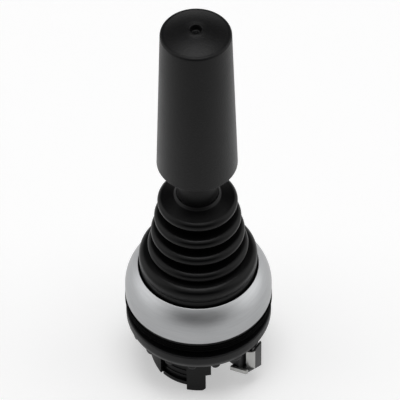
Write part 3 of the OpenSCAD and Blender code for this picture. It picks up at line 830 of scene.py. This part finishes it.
def tidy_faces(obj: Piece, sharp: float = 38.0) -> Piece:
    """Turns the faces outwards and marks sharp edges by angle.

    Args:
        obj: a closed mesh object.
        sharp: angle in degrees above which an edge stays sharp.

    Returns:
        The same object.
    """
    work = bmesh.new()
    work.from_mesh(obj.data)
    bmesh.ops.remove_doubles(work, verts=work.verts, dist=WELD)
    bmesh.ops.recalc_face_normals(work, faces=work.faces)
    work.to_mesh(obj.data)
    work.free()
    obj.data.shade_smooth()
    obj.data.set_sharp_from_angle(angle=math.radians(sharp))
    return obj


def settle(obj: Piece, body: Body, slot: str, *nodes: str) -> None:
    """Puts a finished piece on its body, hides the nodes that it stands for and logs it.

    Args:
        obj: the piece.
        body: the body that it rides on.
        slot: not used.
        nodes: CAD nodes that it replaces.
    """
    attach(obj, body.value)
    if nodes:
        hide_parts(*nodes)
    LOG.info("%s: %d faces on %s", obj.name, len(obj.data.polygons), body.value)


def bend(obj: Piece, bodies: tuple[str, str], ends: Point, slot: str, node: str) -> None:
    """Bakes a soft piece's transform into its mesh, hides the node that it stands for and logs the bodies at
    its ends.

    Args:
        obj: the piece.
        bodies: the names of the bodies at its lower and its upper end, used only in the log.
        ends: not used.
        slot: not used.
        node: the CAD node that it replaces.
    """
    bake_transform(obj)
    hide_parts(node)
    LOG.info("%s: %d faces from %s to %s", obj.name, len(obj.data.polygons), *bodies)


@dataclass
class Workshop:
    """What the sub-assemblies share: node trees, and effects for the finishes."""

    trees: Trees
    effects: Effects

    def material(self, finish: Finish) -> bpy.types.Material:
        """Gives a finish's material, and builds it the first time.

        Args:
            finish: the finish wanted.

        Returns:
            The material.
        """
        return bpy.data.materials.get(finish.name) or finish.build(self.effects)

    def turn(self, name: str, line: list[Point], finish: Finish, segments: int = 192,
             closed: bool = True, sharp: float = 38.0) -> Piece:
        """Turns a profile about Z into a piece.

        Args:
            name: the piece's name.
            line: radius and height of each point, in millimetres.
            finish: the piece's finish.
            segments: facets round the axis.
            closed: True where the last point joins the first, as in a ring.
            sharp: angle of a sharp edge, in degrees.

        Returns:
            The piece.
        """
        points = line + [line[0]] if closed else line
        mesh = bpy.data.meshes.new(name)
        mesh.from_pydata([(r * MM, 0.0, z * MM) for r, z in points], [], [])
        obj = bake(new_object(name, mesh), self.trees.lathe, Segments=segments, Rows=len(points),
                   Finish=self.material(finish))
        return tidy_faces(obj, sharp)

    def wind(self, name: str, finish: Finish, **sizes: float) -> Piece:
        """Winds a wire or a thread ridge about Z.

        Args:
            name: the piece's name.
            finish: the piece's finish.
            sizes: the tree's inputs by name.

        Returns:
            The piece.
        """
        obj = bake(new_object(name, bpy.data.meshes.new(name)), self.trees.coil,
                   Finish=self.material(finish), **sizes)
        return tidy_faces(obj, MOULDED_EDGE)

    def dress(self, **finishes: Finish) -> None:
        """Gives CAD nodes their finishes.

        Args:
            finishes: the finish of each node, by its name.
        """
        for node, finish in finishes.items():
            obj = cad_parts[node]
            material = self.material(finish)
            if not obj.material_slots:
                obj.data.materials.append(material)
            for slot in obj.material_slots:
                slot.material = material
            LOG.info("%s: dressed in %s", node, finish.name)


class Assembly(ABC):
    """A sub-assembly of the product."""

    @abstractmethod
    def build(self, shop: Workshop) -> None:
        """Builds its pieces and dresses the nodes that keep their mesh.

        Args:
            shop: the shared trees and finishes.
        """


# ---- the grip and the lever ----


@dataclass
class Grip(Assembly):
    """The tapered handle, its dimple and the insert that holds it."""

    low: float = 40.4
    length: float = 36.0
    low_radius: float = 8.0
    top_radius: float = 6.95
    edge: float = 0.6
    low_edge: float = 0.25
    bore: float = 4.2
    bore_depth: float = 4.0
    bore_edge: float = 0.2
    rim_lift: float = 0.25
    dome: float = 1.2
    crown_share: float = 0.36
    dimple: float = 1.2
    dimple_depth: float = 1.25
    floor_round: float = 0.25
    nub: tuple[Point, ...] = ((0.0, 0.42), (0.2, 0.4), (0.42, 0.05))
    mouth: tuple[Point, ...] = ((-0.04, -0.3), (0.1, -0.02), (0.3, 0.03), (0.65, -0.05))

    def pit(self, top: float) -> list[Point]:
        """The dimple: a nub over its floor, and a mouth with a faint raised lip.

        Args:
            top: height of the dome's pole.

        Returns:
            Points from the pole outwards.
        """
        floor = top - self.dimple_depth
        line = [(r, floor + z) for r, z in self.nub] + [(self.dimple - self.floor_round, floor)]
        line += [(self.dimple + r, top + z) for r, z in self.mouth]
        return softened(line, {1: 0.15, 2: 0.1, 3: 0.25, 4: 0.15, 5: 0.12, 6: 0.14})

    def profile(self) -> list[Point]:
        """The handle's outline from the pole of its top round to the pole of its bore.

        Returns:
            Points in millimetres.
        """
        rim = self.low + self.length + self.rim_lift
        taper = math.degrees(math.atan((self.low_radius - self.top_radius) / self.length))
        flat = self.top_radius - self.edge
        ball = (flat * flat + self.dome * self.dome) / (2 * self.dome)
        tilt = math.degrees(math.asin(flat / ball))
        crown = arc((0.0, rim + self.dome - ball), ball, 90 - tilt * self.crown_share, 90 - tilt, 14)
        edge_z = rim - self.edge * math.cos(math.radians(tilt))
        edge = arc((flat, edge_z), self.edge, 90 - tilt, taper, 12)
        foot = arc((self.low_radius - self.low_edge, self.low + self.low_edge), self.low_edge, taper, -90, 6)
        roof = self.low + self.bore_depth
        inside = [(self.bore + self.bore_edge, self.low), (self.bore, self.low + self.bore_edge),
                  (self.bore, roof), (0.0, roof)]
        return self.pit(rim + self.dome) + crown + edge + foot + inside

    def build(self, shop: Workshop) -> None:
        """Builds the handle and dresses its insert."""
        obj = shop.turn("grip_body", self.profile(), GRIP, segments=224, closed=False, sharp=MOULDED_EDGE)
        settle(obj, Body.LEVER, "grip_plastic", "handle_grip")
        shop.dress(handle_insert=BRASS)


@dataclass
class Lever(Assembly):
    """The sleeve, the shaft and what is fixed to it."""

    low: float = 23.7
    top: float = 44.4
    radius: float = 4.15
    bore: float = 3.05

    def build(self, shop: Workshop) -> None:
        """Builds the sleeve and dresses the shaft's parts."""
        line = softened([(self.bore, self.low), (self.radius, self.low), (self.radius, self.top),
                         (self.bore, self.top)], {1: 0.25, 2: 0.3})
        settle(shop.turn("lever_sleeve", line, COLLAR, segments=128), Body.LEVER, "grip_plastic",
               "collar_sleeve")
        shop.dress(lever_shaft=STEEL, cross_pin=PIN_STEEL, rocker_plate=NICKEL, shaft_circlip=WIRE,
                   spring_stop=STEEL)


# ---- the bellows ----


@dataclass
class Bellows(Assembly):
    """The folded rubber boot, in a lower and an upper piece that meet on the gimbal."""

    foot_z: float = 8.65
    foot_radius: float = 12.45
    foot_inner: float = 10.45
    skirt_radius: float = 11.75
    skirt_top: float = 11.6
    skirt_step: float = 0.15
    base_z: float = 13.1
    base_radius: float = 11.9
    base_round: float = 1.6
    base_rise: float = 0.8
    fold_radii: tuple[float, ...] = (10.1, 9.4, 8.7, 8.0)
    fold_heights: tuple[float, ...] = (16.4, 20.55, 24.7, 29.2)
    crest: float = 1.15
    crest_turn: float = 87.0
    crest_start: float = -70.0
    crest_end: float = 80.0
    groove: float = 2.6
    groove_round: float = 0.9
    low_round: float = 0.45
    low_turn: tuple[float, float, float] = (256.0, 180.0, 110.0)
    dome_turn: float = 80.0
    wall: float = 0.5
    top: float = 32.35
    neck: float = 4.17
    cuff: tuple[Point, ...] = ((2.4, -1.85), (0.55, -1.25), (0.1, -0.75), (0.0, -0.75), (0.0, -1.7))
    bend_low: float = 9.4
    bend_top: float = 21.6

    def centre(self, i: int) -> Point:
        """Centre of the groove under a fold.

        Args:
            i: the fold's number from below.

        Returns:
            Radius and height.
        """
        under = self.base_z + self.base_rise if i == 0 else self.fold_heights[i - 1]
        root = self.low_round if i == 0 else self.groove_round
        return (self.fold_radii[i] - self.groove + root, (self.fold_heights[i] + under) / 2)

    def dome(self, shift: float) -> list[Point]:
        """Wall of the base dome, up to the bottom of the lowest groove.

        Args:
            shift: 0 outside, the wall's thickness inside.

        Returns:
            Points from below upwards.
        """
        shoulder = (self.base_radius - self.base_round, self.base_z)
        return (arc(shoulder, self.base_round - shift, 0, self.dome_turn, 14)
                + arc(self.centre(0), self.low_round + shift, *self.low_turn[:2], 6))

    def folds(self, shift: float) -> list[Point]:
        """Wall of the folds, from the bottom of the lowest groove.

        Args:
            shift: 0 outside, the wall's thickness inside.

        Returns:
            Points from below upwards.
        """
        line = arc(self.centre(0), self.low_round + shift, *self.low_turn[1:], 6)
        turn, last = self.crest_turn, len(self.fold_radii) - 1
        for i, (radius, height) in enumerate(zip(self.fold_radii, self.fold_heights)):
            if i:
                line += arc(self.centre(i), self.groove_round + shift, 180 + turn, 180 - turn, 14)
            line += arc((radius - self.crest, height), self.crest - shift, -turn if i else self.crest_start,
                        self.crest_end if i == last else turn, 18)
        return line

    def build(self, shop: Workshop) -> None:
        """Builds the two pieces and dresses the hoop in the foot."""
        foot_top = self.foot_z + self.wall
        outside = softened(
            [(self.foot_radius, self.foot_z), (self.foot_radius, foot_top), (self.skirt_radius, foot_top),
             (self.skirt_radius, self.skirt_top), (self.base_radius, self.skirt_top + self.skirt_step)],
            {1: 0.1, 2: 0.1, 3: 0.1})
        inside = [(self.base_radius - self.wall, foot_top), (self.foot_inner, foot_top),
                  (self.foot_inner, self.foot_z)]
        cap = softened([(self.neck + r, self.top + z) for r, z in self.cuff], {1: 0.12, 2: 0.04})
        seam = self.centre(0)[1]
        for name, line, bodies, ends in (
                ("bellows_base", outside + self.dome(0) + self.dome(self.wall)[::-1] + inside,
                 LOWER, (self.bend_low, seam)),
                ("bellows_folds", self.folds(0) + cap + self.folds(self.wall)[::-1],
                 UPPER, (seam, self.bend_top))):
            bend(shop.turn(name, line, BOOT, segments=208, sharp=SOFT_EDGE), bodies,
                 (ends[0] * MM, ends[1] * MM), "boot_rubber", "bellows")
        shop.dress(boot_ring=STEEL)


# ---- bezel, seal, housing and ring nut ----


@dataclass
class Bezel(Assembly):
    """The convex satin metal ring."""

    low: float = 2.3
    height: float = 7.9
    radius: float = 14.85
    band: float = 1.8
    low_edge: float = 0.25
    mouth: float = 12.1
    mouth_edge: tuple[Point, ...] = ((0.22, -0.16), (0.06, -0.03), (0.0, -0.25))
    crown_cut: float = 1.6
    lip: float = 0.8
    seat: float = 12.5
    sleeve_top: float = 8.6
    inner: float = 11.65

    def build(self, shop: Workshop) -> None:
        """Builds the ring."""
        top = self.low + self.height
        rise, run = self.height - self.band, self.radius - self.mouth
        crown = (run * run + rise * rise) / (2 * run)
        end = math.degrees(math.asin(rise / crown)) - self.crown_cut
        line = [(self.inner, self.low)]
        line += arc((self.radius - self.low_edge, self.low + self.low_edge), self.low_edge, -90, 0, 5)
        line += arc((self.radius - crown, self.low + self.band), crown, 0, end, 40)
        line += softened([(self.mouth + r, top + z) for r, z in self.mouth_edge], {1: 0.12})
        line += [(self.mouth, top - self.lip), (self.seat, top - self.lip), (self.seat, self.sleeve_top),
                 (self.inner, self.sleeve_top)]
        settle(shop.turn("bezel_shell", line, BEZEL, segments=256, sharp=40.0), Body.HOUSING,
               "satin_metal", "bezel_ring")


@dataclass
class PanelSeal(Assembly):
    """The flat gasket with rounded ribs round its edge."""

    radius: float = 14.9
    inner: float = 11.05
    thickness: float = 1.5
    ribs: int = 3
    rib_share: float = 0.36
    rib_round: float = 0.9
    depth: float = 0.28

    def build(self, shop: Workshop) -> None:
        """Builds the gasket."""
        pitch = self.thickness / self.ribs
        half = pitch * self.rib_share
        line = [(self.inner, 0.0)]
        for i in range(self.ribs):
            middle = (i + 0.5) * pitch
            line += [(self.radius - self.depth, middle - half)]
            line += arc((self.radius - half * self.rib_round, middle), half * self.rib_round, -70, 70, 6)
            line += [(self.radius - self.depth, middle + half)]
        line += [(self.inner, self.thickness)]
        settle(shop.turn("gasket", line, SEAL, segments=224, sharp=MOULDED_EDGE), Body.HOUSING, "seal_rubber",
               "panel_seal")


@dataclass
class RingNut(Assembly):
    """The ring nut under the panel, with its half-round grip nubs."""

    top: float = -2.2
    height: float = 3.4
    radius: float = 14.75
    low_radius: float = 14.2
    taper: float = 1.3
    bore: float = 11.05
    bore_edge: float = 0.5
    low_edge: float = 0.4
    nubs: int = 18
    nub: float = 0.9
    nub_sides: int = 20
    nub_rise: float = 0.05
    nub_root: float = 12.9
    nub_end: tuple[Point, ...] = ((-0.3, 1.0), (-0.12, 0.96), (-0.03, 0.86), (0.0, 0.6))
    first: float = 264.0

    def ring(self) -> list[Point]:
        """The ring's outline.

        Returns:
            Points in millimetres.
        """
        low, start = self.top - self.height, (self.bore, self.top - self.bore_edge)
        return softened(
            [start, (self.bore, low + self.low_edge), (self.bore + self.low_edge, low),
             (self.low_radius, low), (self.radius, low + self.taper), (self.radius, self.top),
             (self.bore + self.bore_edge, self.top), start],
            {2: 0.1, 3: 0.25, 4: 0.4, 5: 0.35, 6: 0.1})[:-1]

    def one_nub(self) -> bpy.types.Mesh:
        """One round nub that points along +X, with a domed end.

        Returns:
            Its mesh.
        """
        middle = self.top - self.height + self.nub_rise
        turns = [FULL_TURN * k / self.nub_sides for k in range(self.nub_sides)]
        reach = [(self.nub_root, 1.0)] + [(self.low_radius + x, share) for x, share in self.nub_end]
        work = bmesh.new()
        loft(work, [[(x * MM, self.nub * share * MM * math.cos(a),
                      (middle + self.nub * share * math.sin(a)) * MM) for a in turns]
                    for x, share in reach])
        mesh = bpy.data.meshes.new("nub")
        work.to_mesh(mesh)
        work.free()
        return mesh

    def build(self, shop: Workshop) -> None:
        """Builds the ring and repeats the nub round it."""
        ring = shop.turn("nut_ring", self.ring(), NUT, segments=224, sharp=45.0)
        nubs = bake(new_object("nut_nubs", self.one_nub()), shop.trees.nubs, Count=self.nubs,
                    First=math.radians(self.first), Finish=shop.material(NUT))
        for obj in (ring, tidy_faces(nubs)):
            settle(obj, Body.RING_NUT, "nut_plastic", "fixing_ring")


@dataclass
class Housing(Assembly):
    """The screw ridge on the housing's neck, where it shows, and the nodes fixed in the housing."""

    thread_radius: float = 10.98
    pitch: float = 1.5
    ridge: float = 0.42
    gap: tuple[float, float] = (-2.0, -0.35)
    tail: tuple[float, float] = (-9.2, -5.95)

    def build(self, shop: Workshop) -> None:
        """Winds the ridge and dresses the nodes."""
        for name, (low, top) in (("thread_in_gap", self.gap), ("thread_below", self.tail)):
            height = top - low
            obj = shop.wind(name, BODY, Turns=height / self.pitch, Low_Radius=self.thread_radius * MM,
                            Top_Radius=self.thread_radius * MM, Low=low * MM, Height=height * MM,
                            Wire=self.ridge * MM, Sides=8)
            settle(obj, Body.HOUSING, "body_plastic")
        shop.dress(housing_body=BODY, clip_holder=HOLDER, pivot_carrier=BODY, bearing_bushes=BRONZE,
                   gimbal_ring=STEEL, trunnion_pins=PIN_STEEL, rear_guide=BODY, gate_plate=NATURAL,
                   guide_screws=PIN_STEEL)


@dataclass
class LockingClip(Assembly):
    """The bent sheet-metal clip: a foot with a turned-up lip, a front wall and an outer wall, all one metal,
    painted lit on the front wall and lip and painted shaded on the outer wall and foot.
    """

    turn: float = -45.0
    thickness: float = 0.5
    low: float = -12.5
    wall_low: float = -12.48
    top: float = -6.7
    side_top: float = -5.2
    front_top: float = -7.0
    side_end: Point = (14.62, 3.3)
    corner: Point = (14.33, 1.3)
    front_end: Point = (13.2, 0.25)
    bend: float = 0.45
    foot: tuple[Point, ...] = ((10.6, -1.75), (13.95, -0.35), (14.3, 1.3), (14.4, 3.2), (13.9, 3.5),
                               (10.3, 3.2))
    lip: tuple[Point, ...] = ((10.95, -2.08), (14.0, -0.76), (14.2, -0.5), (14.15, -0.1),
                              (13.9, -0.22), (10.76, -1.6))
    lip_height: float = 1.05
    edge: float = 0.07
    edge_angle: float = 35.0

    def prism(self, work: bmesh.types.BMesh, outline: list[Point], low: float, tops: list[float]) -> None:
        """Adds an upright prism over an outline.

        Args:
            work: the mesh that takes it.
            outline: corners in the clip's own frame, in millimetres.
            low: height of its underside.
            tops: height of its top at each corner.
        """
        turn = Matrix.Rotation(math.radians(self.turn), 3, "Z")
        loft(work, [[turn @ Vector((x, y, z)) * MM for (x, y), z in zip(outline, heights)]
                    for heights in ([low] * len(outline), tops)])

    def strip(self, path: list[Point]) -> list[Point]:
        """Gives a path the sheet's thickness on its inner side.

        Args:
            path: points along the outer face.

        Returns:
            The closed outline.
        """
        inner: list[Point] = []
        for k, point in enumerate(path):
            along = Vector(path[min(k + 1, len(path) - 1)]) - Vector(path[max(k - 1, 0)])
            side = Vector((along.y, -along.x)).normalized() * self.thickness
            inner.append((point[0] + side.x, point[1] + side.y))
        return path + inner[::-1]

    def close(self, work: bmesh.types.BMesh, name: str, finish: Finish, shop: Workshop) -> None:
        """Breaks the edges, makes the object and puts it on the housing.

        Args:
            work: the mesh so far.
            name: the piece's name.
            finish: its finish.
            shop: the shared trees and finishes.
        """
        bmesh.ops.recalc_face_normals(work, faces=work.faces)
        limit = math.radians(self.edge_angle)
        sharp = [edge for edge in work.edges if edge.calc_face_angle(0.0) > limit]
        bmesh.ops.bevel(work, geom=sharp, offset=self.edge * MM, segments=3, profile=0.6, affect="EDGES")
        mesh = bpy.data.meshes.new(name)
        work.to_mesh(mesh)
        work.free()
        mesh.materials.append(shop.material(finish))
        settle(tidy_faces(new_object(name, mesh), MOULDED_EDGE), Body.HOUSING, "clip_metal",
               "locking_clip")

    def build(self, shop: Workshop) -> None:
        """Builds the front with its bend and lip in the painted-lit metal, and the outer wall with the foot
        in the painted-shade metal.
        """
        path = softened([self.side_end, self.corner, self.front_end], {1: self.bend}, 8)
        wall, side = self.strip(path[1:]), self.strip(path[:2])
        slope = [self.side_top if k in (0, len(side) - 1) else self.top for k in range(len(side))]
        # Painted light: the front and lip take the painted-lit copy of the clip metal, the outer wall and
        # foot the painted-shade copy.
        for name, finish, sheet, tops, plate, height in (
                ("clip_front", CLIP_PAINTED_LIT, wall, [self.front_top] * len(wall), self.lip, self.lip_height),
                ("clip_side", CLIP_PAINTED_SHADE, side, slope, self.foot, self.thickness)):
            work = bmesh.new()
            self.prism(work, sheet, self.wall_low, tops)
            self.prism(work, list(plate), self.low, [self.low + height] * len(plate))
            self.close(work, name, finish, shop)


# ---- springs and plungers ----


@dataclass
class ReturnSpring(Assembly):
    """The conical return spring, in a lower and an upper piece."""

    low_radius: float = 7.6
    top_radius: float = 4.0
    wire: float = 0.9
    turns: float = 6.0
    seam: float = 13.0

    def build(self, shop: Workshop) -> None:
        """Winds both pieces; the upper one starts where the lower one ends."""
        low_z, top_z = (corner.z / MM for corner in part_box("return_spring"))
        low_z, top_z = low_z + self.wire / 2, top_z - self.wire / 2
        share = (self.seam - low_z) / (top_z - low_z)
        middle = self.low_radius + (self.top_radius - self.low_radius) * share
        for name, low, top, low_radius, top_radius, part, start, bodies in (
                ("spring_lower", low_z, self.seam, self.low_radius, middle, share, 0.0, LOWER),
                ("spring_upper", self.seam, top_z, middle, self.top_radius, 1 - share, share, UPPER)):
            obj = shop.wind(name, WIRE, Turns=self.turns * part, Low_Radius=low_radius * MM,
                            Top_Radius=top_radius * MM, Low=low * MM, Height=(top - low) * MM,
                            Wire=self.wire * MM, Sides=12)
            obj.data.transform(Matrix.Rotation(FULL_TURN * self.turns * start, 4, "Z"))
            bend(obj, bodies, (low * MM, top * MM), "spring_steel", "return_spring")


@dataclass
class Plungers(Assembly):
    """The four plungers and the small springs that lift them."""

    ring: float = 7.0
    wire: float = 0.25
    coil: float = 1.325
    turns: float = 4.0

    def build(self, shop: Workshop) -> None:
        """Dresses the plungers and winds their springs."""
        for side in Side:
            name = side.name.lower()
            shop.dress(**{f"plunger_{name}": NATURAL})
            low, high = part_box(f"plunger_spring_{name}")
            half = self.wire * MM / 2
            obj = shop.wind(f"spring_{name}", WIRE, Turns=self.turns, Low_Radius=self.coil * MM,
                            Top_Radius=self.coil * MM, Low=low.z + half, Height=high.z - low.z - 2 * half,
                            Wire=self.wire * MM, Sides=8)
            turn, ring = math.radians(side.value), self.ring * MM
            obj.data.transform(Matrix.Translation((ring * math.cos(turn), ring * math.sin(turn), 0)))
            bend(obj, (Body.HOUSING.value, f"plunger_{name}"), (low.z, high.z), "spring_steel",
                 f"plunger_spring_{name}")


# ---- stage ----


@dataclass
class Studio:
    """The camera, the pale floor, the surroundings and the lamps. Its sizes are metres."""

    target: Place = (0.00048, 0.0, 0.02913)
    aim: Place = (0.0, 0.0, 0.03)
    distance: float = 0.9125
    elevation: float = 48.09
    roll: float = -0.56
    lens: float = 414.27
    sensor: float = 36.0
    clip: tuple[float, float] = (0.01, 20.0)
    floor_size: float = 8.0
    floor_gap: float = 0.0001
    floor_grey: float = 0.72
    floor_rough: float = 0.9
    floor_reflect: float = 0.1
    floor_glow: float = 0.42
    soft_light: float = 0.15
    card_grey: float = 0.02
    lamps: tuple[tuple[str, Place, float, float], ...] = (
        ("left_lamp", (-1.2, 0.1, 0.6), 1.3, 4.5), ("right_lamp", (1.2, 0.1, 0.6), 1.3, 5.0),
        ("top_lamp", (0.0, 0.0, 1.35), 0.8, 10.0))
    cards: tuple[tuple[str, Place, Point], ...] = (
        ("front_card", (0.0, -1.3, 0.42), (2.3, 1.25)), ("back_card", (0.0, 1.3, 1.25), (3.4, 1.5)))

    def camera(self) -> None:
        """Places the camera at its viewing angle."""
        data = bpy.data.cameras.new("View")
        data.lens, data.sensor_width = self.lens, self.sensor
        data.clip_start, data.clip_end = self.clip
        obj = bpy.data.objects.new("View", data)
        tilt, roll = math.radians(self.elevation), math.radians(self.roll)
        forward = Vector((0, math.cos(tilt), -math.sin(tilt)))
        up = Vector((0, math.sin(tilt), math.cos(tilt)))
        right = Vector((1, 0, 0))
        x_axis = right * math.cos(roll) + up * math.sin(roll)
        y_axis = up * math.cos(roll) - right * math.sin(roll)
        place = Vector(self.target) - forward * self.distance
        turn = Matrix((x_axis, y_axis, -forward)).transposed().to_4x4()
        obj.matrix_world = Matrix.Translation(place) @ turn
        bpy.context.scene.collection.objects.link(obj)
        bpy.context.scene.camera = obj

    def facing(self, place: Place) -> Matrix:
        """Stands a lamp or a card so that it faces the object.

        Args:
            place: where it stands.

        Returns:
            Its matrix.
        """
        turn = (Vector(self.aim) - Vector(place)).to_track_quat("-Z", "Y")
        return Matrix.Translation(place) @ turn.to_matrix().to_4x4()

    def sheet(self, name: str, size: Point, grey: float, roughness: float,
              place: Matrix) -> tuple[Piece, Coat]:
        """Makes a flat, plain grey sheet.

        Args:
            name: its name and its material's.
            size: its width and height.
            grey: its grey level.
            roughness: its roughness.
            place: where it lies.

        Returns:
            The sheet, and its material to add to.
        """
        material = bpy.data.materials.new(name)
        material.use_nodes = True
        coat = Coat(Wiring(material.node_tree), material.node_tree.nodes["Principled BSDF"], None, None, None)
        coat.feed("Base Color", (grey, grey, grey, 1.0))
        coat.feed("Roughness", roughness)
        x, y = size[0] / 2, size[1] / 2
        mesh = bpy.data.meshes.new(name)
        mesh.from_pydata([(-x, -y, 0), (x, -y, 0), (x, y, 0), (-x, y, 0)], [], [(0, 1, 2, 3)])
        mesh.materials.append(material)
        mesh.transform(place)
        obj = new_object(name, mesh)
        return obj, coat

    def floor(self) -> None:
        """Lays the pale floor under the object."""
        _, coat = self.sheet("floor", (self.floor_size, self.floor_size), self.floor_grey, self.floor_rough,
                             Matrix.Translation((0, 0, CAD_BOX[0][2] - self.floor_gap)))
        coat.feed("Specular IOR Level", self.floor_reflect)
        coat.feed("Emission Color", (1.0, 1.0, 1.0, 1.0))
        coat.feed("Emission Strength", coat.wire.times(coat.wire.seen(), self.floor_glow))

    def surroundings(self) -> None:
        """White surroundings for the eye and for gloss, and a plain grey level of soft light."""
        world = bpy.data.worlds.new("Surroundings")
        world.use_nodes = True
        bpy.context.scene.world = world
        wire = Wiring(world.node_tree)
        back = world.node_tree.nodes["Background"]
        back.inputs["Color"].default_value = (1.0, 1.0, 1.0, 1.0)
        shown = wire.times(wire.seen(), 1.0 - self.soft_light)
        wire.put(wire.plus(shown, self.soft_light), back.inputs["Strength"])

    def lamp(self, name: str, place: Place, size: float, power: float) -> None:
        """Hangs one square soft lamp that faces the object.

        Args:
            name: the lamp's name.
            place: its centre.
            size: its width and height.
            power: its power in watts.
        """
        data = bpy.data.lights.new(name, "AREA")
        data.shape, data.size, data.size_y, data.energy = "RECTANGLE", size, size, power
        obj = bpy.data.objects.new(name, data)
        obj.matrix_world = self.facing(place)
        bpy.context.scene.collection.objects.link(obj)

    def card(self, name: str, place: Place, size: Point) -> None:
        """Stands a dark card that only shades the object and shows in its gloss.

        Args:
            name: the card's name.
            place: its centre.
            size: its width and height.
        """
        obj, _ = self.sheet(name, size, self.card_grey, 1.0, self.facing(place))
        obj.visible_camera = False

    def build(self) -> None:
        """Sets up everything that is not the object."""
        self.camera()
        self.floor()
        self.surroundings()
        for lamp in self.lamps:
            self.lamp(*lamp)
        for card in self.cards:
            self.card(*card)
        bpy.context.scene.view_settings.view_transform = "Standard"


def main() -> None:
    """Builds the stage and every sub-assembly, and reports each piece."""
    logging.basicConfig(level=logging.INFO, format="%(name)s: %(message)s")
    Studio().build()
    shop = Workshop(Trees(), Effects())
    for part in (Grip(), Lever(), Bellows(), Bezel(), PanelSeal(), RingNut(), Housing(), LockingClip(),
                 ReturnSpring(), Plungers()):
        part.build(shop)


if __name__ == "__main__":
    main()
